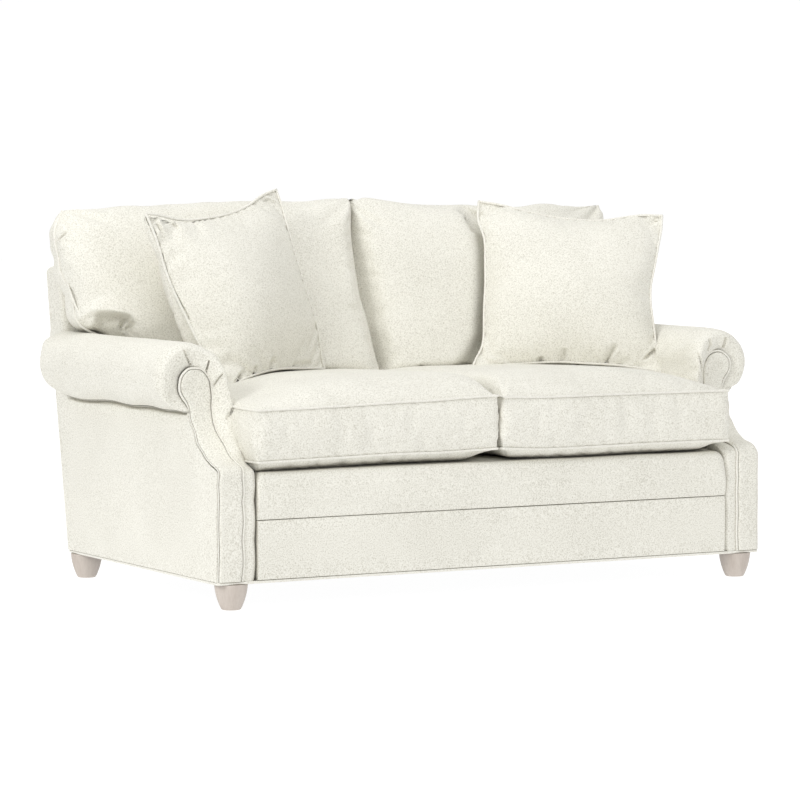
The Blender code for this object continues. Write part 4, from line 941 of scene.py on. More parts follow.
def gathered_edge(rim):
    """Rows from under the facing's edge out to the rounded rim of the arm's front."""
    start = rim[0]
    peak = rim[PEAK_ROW]
    top = int(np.argmax(start[:, 2]))
    target = start.copy()
    proud = np.zeros(len(start))
    for k, (x, _, z) in enumerate(start):
        proud[k] = ease(rim_proud(z, k <= top) / 0.016)
        if z > HEAD_Z:
            way = Vector((x - HEAD_X, z - HEAD_Z)).normalized() * (HEAD_RADIUS - FACING_TUCK)
            target[k] = (HEAD_X + way.x, sweep_y(z), HEAD_Z + way.y)
        else:
            inner, outer = facing_edges(z, FACING_TUCK)
            target[k] = (inner if k <= top else outer, sweep_y(z), z)
    shares = (0.0, 0.12, 0.26, 0.42, 0.58, 0.74, 0.88)
    flat = [target + (start - target) * t for t in shares] + rim[:PEAK_ROW]
    rows = []
    for k, row in enumerate(flat):
        t = k / len(flat)
        tuck = RIM_TUCK * (1.0 - float(ease(t / 0.16)))
        row = row.copy()
        row[:, 1] += tuck * (k < len(shares)) - RIM_HOLLOW * math.sin(math.pi * t) ** 0.9
        curved = target + (peak - target) * t
        swell = (1.0 - (1.0 - t) ** 2.2) ** 0.85
        curved[:, 1] = target[:, 1] + tuck + (peak[:, 1] - target[:, 1]) * swell
        rows.append(row + (curved - row) * proud[:, None])
    return rows


# How the arm is drawn across the picture: the head narrower, the inner rim fuller
ARM_PULLS = (
    (174.5, 382, 3.6, 0.0, 12), (180, 370, 2.6, 1.6, 10), (194, 364.5, 1.0, 2.6, 10), (208, 373, 0.0, 2.0, 8),
    (211, 395, 1.2, 0.6, 8), (212, 358, 4.0, -0.5, 9), (220, 368, 3.6, 0.0, 8), (223, 380, 5.2, 0.0, 9),
    (223.5, 394, 7.4, 0.0, 10), (226, 406, 7.0, 0.0, 9), (229, 417, 4.8, 0.0, 9), (237, 438, 3.0, 0.0, 10),
    (245, 456, 3.6, 1.2, 10), (252, 467, 2.2, 3.0, 9), (252, 485, 2.2, 0.6, 12), (253, 520, 2.0, 0.0, 20),
    (253, 560, 2.0, 0.0, 20), (241, 490, 3.4, 0.8, 8), (241, 520, 3.4, 0.0, 14), (241, 560, 3.2, 0.0, 14),
    (231, 461, 5.0, 1.2, 12), (221, 446, 4.6, 0.0, 12), (209, 440, 1.6, 0.0, 8), (47, 340, -3.0, 0.0, 9),
    (239, 467, 2.4, 0.0, 9), (207, 462, 3.2, 1.6, 8), (202, 452, 3.0, 0.6, 10), (192, 433, 2.6, 0.0, 10),
    (187, 412, 0.6, -1.4, 7), (216, 471, 2.0, 1.6, 7), (217.5, 500, 1.0, 0.0, 12), (218, 550, 0.6, 0.0, 14),
    (150, 405, 0.0, -2.6, 14), (175, 409, 0.0, -2.0, 10), (110, 400, 0.0, -3.0, 18), (60, 391, 0.0, -3.0, 14),
)
# What the right arm has beyond that
RIGHT_ARM_PULLS = (
    (717, 351, 0.4, -2.0, 10), (729, 360, 1.0, -1.2, 9), (725, 378, -1.6, -1.2, 8), (703, 366, 0.2, -0.6, 9),
    (727, 331, 0.0, 1.6, 9), (736.5, 339, -1.4, 1.4, 9), (742, 349, -0.8, 0.4, 9), (700, 330, 0.0, 0.0, 12),
    (743, 372, 0.0, 0.0, 9), (730, 391, -3.2, 0.0, 7), (719, 329.5, 0.0, 0.8, 7),
)


def arm_shape(places, side):
    """Both arms take the shape that the picture shows on the left one."""
    mirror = np.array((-side, 1.0, 1.0))
    shaped = pull(np.asarray(places, float) * mirror, ARM_PULLS) * mirror
    return shaped if side < 0 else pull(shaped, RIGHT_ARM_PULLS)


def arm_cover(side):
    """Padded cover of the arm: front band, sweep and roll, with pleats gathered round the facing's head."""
    rim = [arm_chain(s) for s in (0.0, 0.10, 0.2, 0.3, 0.4, 0.5, 0.6, 0.7, 0.8, 0.9, 1.0)]
    front = rim[-1]
    rear = front.copy()
    rear[:, 1] = [back_y(z, BACK_FRAME_DEPTH + GAP) for z in rear[:, 2]]
    above = (rear[:, 2] > ROLL_Z - ROLL_RADIUS / 2) | (rear[:, 0] > ROLL_X - 0.01)
    centre = np.array((ROLL_X, ROLL_Z))
    rows = gathered_edge(rim) + rim[PEAK_ROW:]
    for t in np.linspace(0.0, 1.0, 58)[1:] ** 1.35:
        row = front.copy()
        row[:, 1] = front[:, 1] + (rear[:, 1] - ROLL_END_ROUND - front[:, 1]) * t
        rows.append(row)
    for turn in np.radians((20, 40, 60, 78, 90)):
        row = rear.copy()
        row[:, 1] += ROLL_END_ROUND * (math.sin(turn) - 1.0)
        inset = ROLL_END_ROUND * (1.0 - math.cos(turn))
        around = row[above][:, [0, 2]]
        row[np.ix_(above, (0, 2))] = centre + (around - centre) * (1.0 - inset / ROLL_RADIUS)
        rows.append(row)
    end = rows[-1]
    for share in (0.72, 0.45, 0.2, 0.02):
        closing = end.copy()
        closing[np.ix_(above, (0, 2))] = centre + (end[above][:, [0, 2]] - centre) * share
        closing[above, 1] = end[above, 1] * share + end[above, 1].mean() * (1.0 - share) - 0.0012
        rows.append(closing)
    rows = np.array(rows)
    rows[:, :, 0] *= side
    obj = one_sheet("arm_cover_" + side_name(side), rows)
    set_coords(obj, arm_shape(coords(obj), side))
    funnel(obj)
    for pixels, depth, width, ridge, lean in PLEATS[side]:
        fold(obj, pixels, depth, width, ridge, (0.12, 0.04), lean, levels=3)
    y = coords(obj)[:, 1]
    hold = ease((y - FRONT_Y - 0.05) / 0.12) * ease((back_y(0.5, BACK_FRAME_DEPTH) - y) / 0.08)
    undulate(obj, amount=0.0016, wave=0.16, seed=3.0 + side, keep=hold)
    thicken(obj, ARM_COVER_THICKNESS)
    add_piece(obj, "cover_fabric", "frame", ["arm_pad_" + side_name(side)])


def funnel(obj):
    """Draw the roll's end in towards the facing's head, so that it dips round it."""
    places = coords(obj)
    flat_x = np.abs(places[:, 0]) - HEAD_X
    flat_z = places[:, 2] - HEAD_Z
    radius = np.hypot(flat_x, flat_z)
    out = np.maximum(radius - HEAD_RADIUS, 0.0)
    near = np.exp(-((out / FUNNEL_REACH) ** 1.6)) * ease((places[:, 2] - HEAD_Z + 0.06) / 0.07)
    outer = ease((flat_x + 0.02) / 0.03)
    front = ease((CAP_Y + SWEEP_DEPTH + 0.05 - places[:, 1]) / 0.04)
    places[:, 1] += FUNNEL_DEPTH * near * outer * front
    set_coords(obj, places)


# Pleats at the arm's front and its band's edge: points of the picture, depth, width, ridge and lean
PLEATS = {
    -1: (
        (((183.5, 348.5), (187.0, 357.0), (191.0, 365.6)), 0.0042, 0.0011, 0.0010, 0.9),
        (((211.2, 350.5), (209.2, 360), (207, 367.5), (205.4, 373.0)), 0.0070, 0.0012, 0.0012, -0.9),
        (((224.2, 373), (219.2, 378.3), (214.2, 385), (212.4, 388.5)), 0.0050, 0.0012, 0.0012, 0.9),
        (((232.4, 412), (230, 415.5), (226.5, 419.3)), 0.0044, 0.0036, 0.0008, -1.4),
        (((232.6, 403), (235.0, 424), (239.6, 442), (245.6, 460), (251.0, 470)), 0.0080, 0.0024, 0.0, 0.0),
    ),
    1: (
        (((708.8, 338), (710.6, 345), (708.0, 351.0)), 0.0062, 0.0026, 0.0012, 0.8),
        (((726.0, 337), (724.4, 343), (722.6, 348)), 0.0062, 0.0026, 0.0012, -0.8),
        (((696.5, 352), (700.4, 359.5), (702, 367), (702.4, 376), (702.4, 384)), 0.0044, 0.0026, 0.0010, 0.4),
    ),
}


def slim_share(z):
    """Where the facing's outer edge runs in close to the side panel."""
    return ease((HEAD_Z - SLIM_DROP - z) / 0.03)


def facing_edges(z, inset):
    if z > HEAD_Z:
        reach = math.sqrt(max((HEAD_RADIUS - inset) ** 2 - (z - HEAD_Z) ** 2, 0.0))
        return HEAD_X - reach, HEAD_X + reach
    rise = min(max((z - HEAD_Z + HEAD_FLARE) / HEAD_FLARE, 0.0), 1.0)
    swing = HEAD_X + HEAD_RADIUS - WELT_OUTER_X
    outer = WELT_OUTER_X + swing * float(ease(rise))
    slope = swing / HEAD_FLARE * 6.0 * rise * (1.0 - rise)
    return WELT_INNER_X + inset, outer - inset * math.sqrt(1.0 + slope * slope)


def facing_levels(inset, head_steps):
    levels = [z for z in lower_levels() if z < HEAD_Z]
    last = levels[-1]
    levels += list(np.linspace(last, HEAD_Z, 10))[1:-1]
    reach = HEAD_RADIUS - inset
    return levels + [HEAD_Z + reach * math.sin(s * math.pi / 2) for s in np.linspace(0.0, 0.985, head_steps)]


def arm_facing(side):
    """Padded keyhole panel on the arm's front."""
    inset = WELT_RADIUS * 1.05
    levels = facing_levels(inset, 22)
    rows = []
    for z, normal in zip(levels, sweep_normals(levels)):
        inner, outer = facing_edges(z, inset)
        outer += 0.45 * inset * float(slim_share(z))
        row = []
        for t in (0.0, 0.012, 0.035, 0.08, 0.16, 0.28, 0.4, 0.5, 0.6, 0.72, 0.84, 0.92, 0.965, 0.988, 1.0):
            lift = (1.0 - abs(2 * t - 1) ** 12) ** 0.5
            height = GAP + COVER_PANEL * 0.55 + (COVER_PANEL * 0.45 + FACING_CROWN) * lift - 0.001
            place = Vector((sweep_y(z), z)) + normal * height
            row.append((side * (inner + (outer - inner) * t), place.x, place.y))
        rows.append(row)
    obj = one_sheet("facing_" + side_name(side), rows, flip=side > 0)
    set_coords(obj, arm_shape(coords(obj), side))
    thicken_along(obj, FACING_THICKNESS, (0.0, 1.0, 0.0))
    add_piece(obj, "cover_fabric", "frame", ["arm_facing_" + side_name(side)])


def arm_piping(side):
    levels = facing_levels(0.0, 20)
    runs = ([], [])
    for z, normal in zip(levels, sweep_normals(levels)):
        place = Vector((sweep_y(z), z)) + normal * (WELT_RADIUS + GAP)
        for run, edge in zip(runs, facing_edges(z, 0.0)):
            run.append((side * edge, place.x, place.y))
    inner_run, outer_run = runs
    top = (side * HEAD_X, inner_run[-1][1], HEAD_Z + HEAD_RADIUS)
    points = np.array(inner_run + [top] + outer_run[::-1])
    slim = slim_share(points[:, 2]) * (np.arange(len(points)) > len(inner_run))
    points = arm_shape(points, side)
    points[:, 1] += 0.0012 + 0.0012 * slim
    radius = WELT_RADIUS * (0.86 - 0.44 * slim)
    name = side_name(side)
    cord_piece("arm_piping_" + name, points, radius, CORD_SIDES, "frame", ["arm_welt_" + name])


def wing_rise(places):
    """The back's two top corners stand a little proud of its middle."""
    places = np.array(places, float)
    lift = ease((np.abs(places[:, 0]) - WING_START_X) / 0.09) * ease((places[:, 2] - WING_START_Z) / 0.10)
    places[:, 2] += WING_RISE * lift
    return places


def side_panel(side):
    """Cover on the outside of the arm, and on up the side of the back."""
    wing_v = BACK_EDGE_RADIUS - BACK_FRAME_DEPTH
    rear_v = -(COVER_PANEL + GAP)
    top_u = BACK_TOP_U - BACK_EDGE_RADIUS
    top_z = SEAM_Z - SLIDE_GAP
    columns_a, columns_b = 46, 8
    rows = []
    for z in [z for z in lower_levels() if z < top_z] + [top_z]:
        front, wing, rear = sweep_y(z), back_y(z, -wing_v), back_y(z, -rear_v)
        ys = list(np.linspace(front, wing, columns_a + 1)) + list(np.linspace(wing, rear, columns_b + 1))[1:]
        rows.append([(side * OUTER_X, y, z) for y in ys])
    upper = []
    for share in np.linspace(0.0, 1.0, 22):
        row = []
        for v in np.linspace(wing_v, rear_v, columns_b + 1):
            low_u = (top_z + v * math.sin(BACK_RAKE)) / math.cos(BACK_RAKE)
            row.append((side * OUTER_X, *raked(v, low_u + (top_u - low_u) * share)))
        upper.append(row)
    sheets = Sheets()
    sheets.grid(rows, flip=side < 0)
    sheets.grid(upper, flip=side < 0)
    obj = sheets.build("side_panel_" + side_name(side), weld=0.0002)
    places = wing_rise(arm_shape(coords(obj), side))
    along = np.clip((places[:, 1] - CAP_Y) / (back_y(0.3) - CAP_Y), 0, 1)
    up = np.clip((places[:, 2] - COVER_BOTTOM) / (SEAM_Z - COVER_BOTTOM), 0, 1)
    swell = SIDE_SWELL * (1 - (2 * along - 1) ** 4) + 0.0005 * ripple(places, 0.2, 9.0 + side)
    places[:, 0] += side * swell * (1 - (2 * up - 1) ** 6) * (places[:, 2] < SEAM_Z)
    set_coords(obj, places)
    line = arm_shape(np.array(rows[-1][: columns_a + 1]), side) - np.array((0.0, 0.0, SIDE_CREASE_DROP))
    refine(obj, line, 0.012, 2)
    crease(obj, line, depth=0.0080, width=0.0032, ridge=0.0, fade=(0.02, 0.02))
    thicken_along(obj, COVER_PANEL - 0.001, (-side, 0.0, 0.0))
    add_piece(obj, "cover_fabric", "frame", ["outer_arm_" + side_name(side)])


# Base

BORDER_REACH = INNER_X - SLIDE_GAP - BORDER_SIDE_GAP


def across_ends():
    """Places across the front border, close together near its rounded ends, and how far each drops."""
    straight = BORDER_REACH - BORDER_CORNER
    turns = np.radians(np.linspace(0, 90, 9))[1:]
    right = straight + BORDER_CORNER * np.sin(turns)
    drop = BORDER_CORNER * (1.0 - np.cos(turns))
    xs = np.concatenate([-right[::-1], np.linspace(-straight, straight, 70), right])
    return xs, np.concatenate([drop[::-1], np.zeros(70), drop])


def border_returns(rows):
    """Turn the two ends of a border inwards, so that they close against the arms."""
    rows = np.array(rows, float)
    out = list(rows)
    for end, step in ((rows[0], -1), (rows[-1], 1)):
        for back in (0.003, 0.010, 0.020):
            turned = end.copy()
            turned[:, 1] = np.minimum(end[:, 1] + back, FRONT_Y + BORDER_LIP)
            turned[:, 0] = end[:, 0] + step * min(back * 0.05, 0.0002)
            out.insert(0 if step < 0 else len(out), turned)
    return out


def border_upper():
    """Puffy upper band of the front border, rounded over the rail and at its two top corners."""
    bottom = BORDER_SEAM + BORDER_SEAM_GAP
    crest = DECK_TOP - BORDER_CREST_DROP
    height = crest - bottom
    radius = height * 0.15
    face = FRONT_Y + 0.0006
    turn_in = ((0.010, 0.0), (0.0026, 0.0003), (0.0010, 0.0011))
    section = [(FRONT_Y + back, bottom + rise) for back, rise in turn_in]
    for t in np.linspace(0.03, 0.85, 16):
        y = face - (BORDER_PROUD + 0.002) * math.sin(min(t / 0.85, 1.0) * math.pi) ** 0.8
        section.append((y, bottom + height * t))
    for turn in np.radians(np.linspace(8, 90, 10)):
        section.append((face + radius * (1 - math.cos(turn)), crest - radius + radius * math.sin(turn)))
    for t in np.linspace(0.05, 1.0, 9):
        section.append((FRONT_Y + radius + (BORDER_LIP - radius) * t, crest + (DECK_TOP - crest) * t * t))
    rows = []
    for x, drop in zip(*across_ends()):
        shares = [float(ease((z - bottom) / height)) for _, z in section]
        rows.append([(x, y + 0.25 * drop * s, z - drop * s) for (y, z), s in zip(section, shares)])
    obj = one_sheet("front_border_band", border_returns(rows))
    undulate(obj, amount=0.0011, wave=0.13, seed=21.0, keep=ease((coords(obj)[:, 2] - bottom) / 0.02))
    thicken_along(obj, COVER_THICKNESS, (0.0, 1.0, -0.4))
    add_piece(obj, "cover_fabric", "frame", ["front_border_upper"])


def border_lower():
    top = BORDER_SEAM - BORDER_SEAM_GAP
    section = [(FRONT_Y + 0.008, COVER_BOTTOM), (FRONT_Y + 0.0012, COVER_BOTTOM + 0.0006)]
    for t in np.linspace(0.02, 0.97, 18):
        y = FRONT_Y + 0.0004 - 0.0016 * math.sin(t * math.pi) ** 0.6
        section.append((y, COVER_BOTTOM + (top - COVER_BOTTOM) * t))
    section += [(FRONT_Y + 0.0010, top - 0.0012), (FRONT_Y + 0.0026, top - 0.0003), (FRONT_Y + 0.010, top)]
    rows = [[(x, y, z) for y, z in section] for x in np.linspace(-BORDER_REACH, BORDER_REACH, 80)]
    obj = one_sheet("front_border_panel", border_returns(rows))
    undulate(obj, amount=0.0005, wave=0.2, seed=22.0)
    thicken_along(obj, COVER_THICKNESS, (0.0, 1.0, 0.0))
    add_piece(obj, "cover_fabric", "frame", ["front_border_lower"])


def base_piping():
    """Piping round the bottom edge, with rounded corners."""
    z = FOOT_HEIGHT + GAP + WELT_RADIUS
    radius = 2 * WELT_RADIUS
    x = WELT_OUTER_X - radius
    front = FRONT_Y + WELT_RADIUS + radius
    rear = back_y(z, WELT_RADIUS) - radius
    points = []
    for centre_x, centre_y, start in ((x, front, -90), (x, rear, 0), (-x, rear, 90), (-x, front, 180)):
        for step in range(0, 91, 15):
            angle = math.radians(start + step)
            points.append((centre_x + radius * math.cos(angle), centre_y + radius * math.sin(angle), z))
    points = np.array(points)
    fine = []
    for a, b in zip(points, np.roll(points, -1, axis=0)):
        count = max(1, int(np.linalg.norm(b - a) / 0.02))
        fine += [a + (b - a) * k / count for k in range(count)]
    fine = np.array(fine)
    fine[:, 2] += 0.0003 * ripple(fine, 0.12, 31.0)
    cord_piece("base_piping", fine, WELT_RADIUS, CORD_SIDES, "frame", ["base_welt"], closed=True)


def level_cloth(name, x_reach, ends, z, sag, power, counts):
    """A level sheet between four edges, a little lower in its middle."""
    rows = []
    for t in np.linspace(0.0, 1.0, counts[0]):
        row = []
        for s in np.linspace(0.0, 1.0, counts[1]):
            drop = sag * (1 - (2 * s - 1) ** power) * (1 - (2 * t - 1) ** power)
            row.append((-x_reach + 2 * x_reach * s, ends[0] + (ends[1] - ends[0]) * t, z - drop))
        rows.append(row)
    return one_sheet(name, rows)


def deck():
    """Lining-covered deck under the seat cushions."""
    ends = (FRONT_Y + BORDER_LIP + GAP, back_y(DECK_TOP, BACK_FRAME_DEPTH + GAP))
    obj = level_cloth("deck_pad", INNER_X - SLIDE_GAP, ends, DECK_TOP - 0.0002, 0.0016, 4, (30, 50))
    thicken_along(obj, DECK_THICKNESS - 0.004, (0.0, 0.0, -1.0))
    add_piece(obj, "deck_cloth", "frame", ["seat_deck"])


def under_cloth():
    """Dust cloth stapled under the base, sagging a little between the rails."""
    margin = 2 * WELT_RADIUS + GAP
    x_reach = OUTER_X - margin
    front = FRONT_Y + margin
    rear = back_y(FOOT_HEIGHT) - margin
    z = FOOT_HEIGHT + GAP + DUST_COVER
    obj = level_cloth("under_cloth", x_reach, (front, rear), z, 0.0006, 8, (28, 46))
    thicken_along(obj, DUST_CLOTH_THICKNESS, (0.0, 0.0, 1.0))
    add_piece(obj, "dust_cloth", "frame", ["dust_cover"])


def back_cap():
    """Padded cap over the back frame, rounded along its top and its two ends."""
    front = -BACK_FRAME_DEPTH
    rear = -(COVER_PANEL + GAP)
    bottom = (DECK_TOP - 0.02 + front * math.sin(BACK_RAKE)) / math.cos(BACK_RAKE)
    r = BACK_EDGE_RADIUS
    section = [(front, u, 1.0, 0.0) for u in np.linspace(bottom, BACK_TOP_U - r, 26)]
    for a in CORNER_TURNS:
        v, u = front + r - r * math.cos(a), BACK_TOP_U - r + r * math.sin(a)
        section.append((v, u, math.cos(a), -math.sin(a)))
    section += [(v, BACK_TOP_U, 0.0, -1.0) for v in np.linspace(front + r, rear, 7)[1:]]
    straight = PAD_OUTER_X - r
    ends = [(straight + r * math.sin(a), r * (1 - math.cos(a))) for a in CORNER_TURNS]
    places = [(-x, inset) for x, inset in reversed(ends)]
    places += [(x, 0.0) for x in np.linspace(-straight, straight, 60)] + ends
    rows = []
    for x, inset in places:
        row = []
        for v, u, dv, du in section:
            y, z = raked(v + dv * inset, u + du * inset)
            wider = 1.0 + (OUTER_X - PAD_OUTER_X - GAP) / PAD_OUTER_X * float(ease((z - 0.47) / 0.12))
            row.append((x * wider, y, z))
        rows.append(row)
    obj = one_sheet("back_cap", rows)
    set_coords(obj, wing_rise(coords(obj)))
    keep = ease((BACK_TOP + 0.01 - coords(obj)[:, 2]) / 0.05) * 0.5 + 0.3
    undulate(obj, amount=0.0010, wave=0.18, seed=41.0, keep=keep)
    thicken_along(obj, COVER_THICKNESS, (0.0, 1.0, -0.3))
    add_piece(obj, "cover_fabric", "frame", ["inside_back"])


def back_panel():
    """Outside back, with rounded top corners."""
    r = BACK_EDGE_RADIUS
    low_u = COVER_BOTTOM / math.cos(BACK_RAKE)
    edges = [(u, OUTER_X) for u in np.linspace(low_u, BACK_TOP_U - r, 40)]
    edges += [(BACK_TOP_U - r + r * math.sin(a), OUTER_X - r + r * math.cos(a)) for a in CORNER_TURNS]
    rows = []
    for u, reach in edges:
        row = []
        for s in np.linspace(-1.0, 1.0, 70):
            edge = min((1 - abs(s)) * reach, u - low_u, BACK_TOP_U - u)
            row.append((reach * s, *raked(-0.0030 * (1 - float(ease(edge / 0.012))), u)))
        rows.append(row)
    obj = one_sheet("back_panel", rows)
    set_coords(obj, wing_rise(coords(obj)))
    undulate(obj, amount=0.0004, wave=0.22, seed=43.0)
    thicken_along(obj, BACK_PANEL_THICKNESS, (0.0, -1.0, 0.0))
    add_piece(obj, "cover_fabric", "frame", ["outside_back"])


def foot_piece(name, x, y):
    """Turned tapered foot: a short neck line under the base, a full shoulder and a chamfered toe."""
    outline = [
        (0.0, 0.0), (0.0, 0.0205), (0.0006, 0.0222), (0.0022, 0.0236), (0.006, 0.0256), (0.012, 0.0283),
        (0.020, 0.0314), (0.029, 0.0343), (0.038, 0.0366), (0.047, 0.0383), (0.055, 0.0393), (0.0596, 0.0397),
        (0.0605, 0.0395), (FOOT_HEIGHT, 0.0388), (FOOT_HEIGHT, 0.0),
    ]
    sides = 56
    turns = [2 * math.pi * k / sides for k in range(sides)]
    rows = []
    for z, radius in outline:
        r = max(radius, 0.00001)
        rows.append([(x + r * math.cos(a), y + r * math.sin(a), z) for a in turns])
    obj = one_sheet("turned_foot_" + name, rows, weld=0.00005, closed=True)
    obj.data.set_sharp_from_angle(angle=math.radians(38))
    add_piece(obj, "whitewashed_wood", "frame", ["foot_" + name])


def feet():
    front = (OUTER_X - FOOT_FRONT_SIDE_INSET, FRONT_Y + FOOT_FRONT_INSET)
    rear = (OUTER_X - FOOT_REAR_SIDE_INSET, back_y(FOOT_HEIGHT) - FOOT_REAR_INSET)
    for end, (x, y) in (("front", front), ("rear", rear)):
        for side in (-1, 1):
            foot_piece(end + "_" + side_name(side), side * x, y)


# Seat cushions

def seat_ends():
    front = FRONT_Y - (CUSHION_PROUD - SEAT_BOXING_BULGE)
    rear = back_y(DECK_TOP, BACK_FRAME_DEPTH) - SEAT_REAR_GAP - SEAT_BOXING_BULGE
    return front, rear


# Front seams of the seat cushions, as points of the picture
SEAT_SEAMS = {
    -1: (
        (
            (257, 411.2), (300, 409), (360, 405.4), (393, 402.9), (431, 401.1), (460, 398.6), (485, 396.8),
            (499.5, 395.8),
        ),
        ((257, 462.5), (310, 459.3), (360, 456), (396, 453.6), (446, 452.0), (481, 449.4), (499, 448)),
    ),
    1: (
        (
            (502.5, 396.6), (509, 397.3), (529, 398), (543, 397.6), (570, 396.4), (640, 393.8), (700, 391.8),
            (728, 391),
        ),
        ((501, 447.4), (510, 448.6), (546, 449), (575, 447.4), (640, 443.8), (700, 441), (728, 440)),
    ),
}
# The left seat cushion falls away behind its front corner, below the pillow
LEFT_SEAT_PULLS = (
    (230, 386, 0.0, 4.0, 8), (240, 380, 0.0, 3.8, 9), (252, 376, 0.0, 2.6, 9), (264, 373, 0.0, 1.4, 9),
    (278, 371, 0.0, 0.6, 9), (294, 370, 0.0, 0.2, 10), (312, 369.5, 0.0, 0.0, 10), (246, 395, 0.0, 0.0, 10),
    (270, 392, 0.0, 0.0, 11), (300, 390, 0.0, 0.0, 14), (236, 402, 0.0, 0.0, 8),
)


# Underside of a seat cushion: share of the inset and share of the height left at each row
SEAT_UNDERSIDE = ((0.15, 0.82), (0.32, 0.62), (0.50, 0.41), (0.68, 0.22), (0.86, 0.07), (1.0, 0.0))


def seat_swell(side, x, world_y):
    """Share of the crown at a place of the seat: a dome that stays full next to the divide."""
    front, rear = seat_ends()
    inner_gap = max(abs(x) - SLIDE_GAP, 0.0)
    outer_gap = max(INNER_X - SLIDE_GAP - abs(x), 0.0)
    half = INNER_X / 2
    valley = 0.32 * max(1.0 - inner_gap / 0.13, 0.0) ** 2 + 0.68 * max(1.0 - inner_gap / 0.022, 0.0) ** 2
    across = (1.0 - max(1.0 - outer_gap / half, 0.0) ** 2.3) * (1.0 - valley)
    if side < 0:
        across *= 1.0 - 0.16 * math.exp(-(((outer_gap - 0.07) / 0.05) ** 2))
    ahead = 1.0 - max(1.0 - max(world_y - front, 0.0) / SEAT_SHOULDER, 0.0) ** 2.2
    behind = 1.0 - max(1.0 - max(rear - world_y, 0.0) / 0.06, 0.0) ** 2.2
    return across * (ahead * behind) ** 0.6


def rounded_ring(ring, reach):
    """A closed line with its corners rounded over a reach."""
    closed = closed_line(ring)
    run = np.concatenate([[0.0], np.cumsum(np.linalg.norm(np.diff(closed, axis=0), axis=1))])
    out = np.zeros_like(ring)
    for shift in np.linspace(-reach, reach, 15):
        at = (run[:-1] + shift) % run[-1]
        out += np.column_stack([np.interp(at, run, closed[:, k]) for k in range(3)])
    return out / 15


def seat_cushion(side):
    """Boxed cushion: domed top, bulging sides, tapered underside and cord round both seams."""
    front, rear = seat_ends()
    half_x = (INNER_X - 2 * SLIDE_GAP) / 2 - SEAT_BOXING_BULGE
    half_y = (rear - front) / 2
    centre_x = side * INNER_X / 2
    centre_y = (rear + front) / 2
    low = DECK_TOP + GAP

    def top_point(s, t):
        p = math.sin((s - 0.5) * math.pi)
        q = math.sin((t - 0.5) * math.pi)
        corner = SEAT_CORNER_EAR * abs(p * q) ** 10
        if p * side > 0.0 and q < 0.0:
            corner = -SEAT_CORNER_ROUND * abs(p * q) ** 9
        x = centre_x + p * (half_x - SEAT_SIDE_DRAW * (1.0 - q * q)) + math.copysign(1.0, p) * corner
        y = centre_y + q * half_y + math.copysign(0.7 * corner, q)
        edge_z = SEAT_TOP_WELT + SEAT_CORNER_LIFT * abs(p * q) ** 4 * float(ease(q + 0.5))
        swell = seat_swell(side, x, y) if max(abs(p), abs(q)) < 1.0 else 0.0
        return (x, y, edge_z + (seat_plane(y) - edge_z) * swell)

    grid = grid_of(top_point, 64, 64)
    ring = rim_of(grid)
    sheets = Sheets()
    sheets.grid(grid)
    share = (ring[:, :2] - np.array((centre_x, centre_y))) / np.array((half_x, half_y))
    out = np.sign(share) * np.clip(np.abs(share), 0, 1) ** 14
    softened = rounded_ring(ring, SEAT_CORNER_REACH)
    rows = [ring]
    for t in np.linspace(0.0, 1.0, 15)[1:]:
        arch = math.sin(math.pi * t) if t < 1.0 else 0.0
        row = ring.copy()
        row[:, :2] += (softened - ring)[:, :2] * arch**0.5 + out * SEAT_BOXING_BULGE * arch**0.6
        row[:, 2] = ring[:, 2] + (SEAT_BOTTOM_WELT - ring[:, 2]) * t
        rows.append(row)
    bottom_ring = rows[-1]
    left_inset, right_inset = SEAT_END_INSETS[side]

    def drawn_in(points, inset_share, z_share):
        inset = left_inset + (right_inset - left_inset) * ease((points[..., 0] - centre_x) / half_x + 0.5)
        made = points.copy()
        made[..., 0] = centre_x + (points[..., 0] - centre_x) * (1.0 - inset * inset_share / half_x)
        narrow = 1.0 - SEAT_UNDERSIDE_INSET * inset_share / half_y
        made[..., 1] = centre_y + (points[..., 1] - centre_y) * narrow
        made[..., 2] = low + (SEAT_BOTTOM_WELT - low) * z_share
        return made

    rows += [drawn_in(ring, *shares) for shares in SEAT_UNDERSIDE]
    sheets.grid(rows, closed=True, flip=True)
    sheets.grid(drawn_in(grid, 1.0, 0.0), flip=True)
    name = side_name(side)
    body = "seat_cushion_" + name
    obj = sheets.build("seat_pad_" + name)
    places = coords(obj)
    pinned = places[:, 2] < DECK_TOP + 0.004
    for seam in (ring, bottom_ring):
        pinned |= line_distance(places, closed_line(seam))[0] < SEAM_REACH
    puff(obj, pinned.astype(float), pressure=4.0, cap=0.004, growth=0.015)
    groups = [coords(obj), ring, bottom_ring]
    keeps = [ease((front + 0.30 - group[:, 1]) / 0.20) for group in groups]
    fronts = [line[np.abs(line[:, 1] - line[:, 1].min()) < 0.012] for line in (ring, bottom_ring)]
    fronts = [line[np.argsort(line[:, 0])] for line in fronts]
    shaped, ring, bottom_ring = draw_to(groups, fronts, SEAT_SEAMS[side], (40.0, 16.0), keeps)
    set_coords(obj, pull(shaped, LEFT_SEAT_PULLS) if side < 0 else shaped)
    add_piece(obj, "cushion_fabric", body, [body])
    for part, line, lift in (("top", ring, 0.0010), ("bottom", bottom_ring, -0.0006)):
        cord = np.column_stack([line[:, :2] + out * 0.0012, line[:, 2] + lift])[::2]
        part_name = "seat_piping_" + part + "_" + name
        cord_piece(part_name, cord, SEAT_CORD_RADIUS, LOOSE_CORD_SIDES, body, closed=True)


# Back cushions

def cushion_face_y(z):
    return BACK_CUSHION_Y + (z - seat_plane(BACK_CUSHION_Y)) * math.tan(BACK_CUSHION_FACE_RAKE)


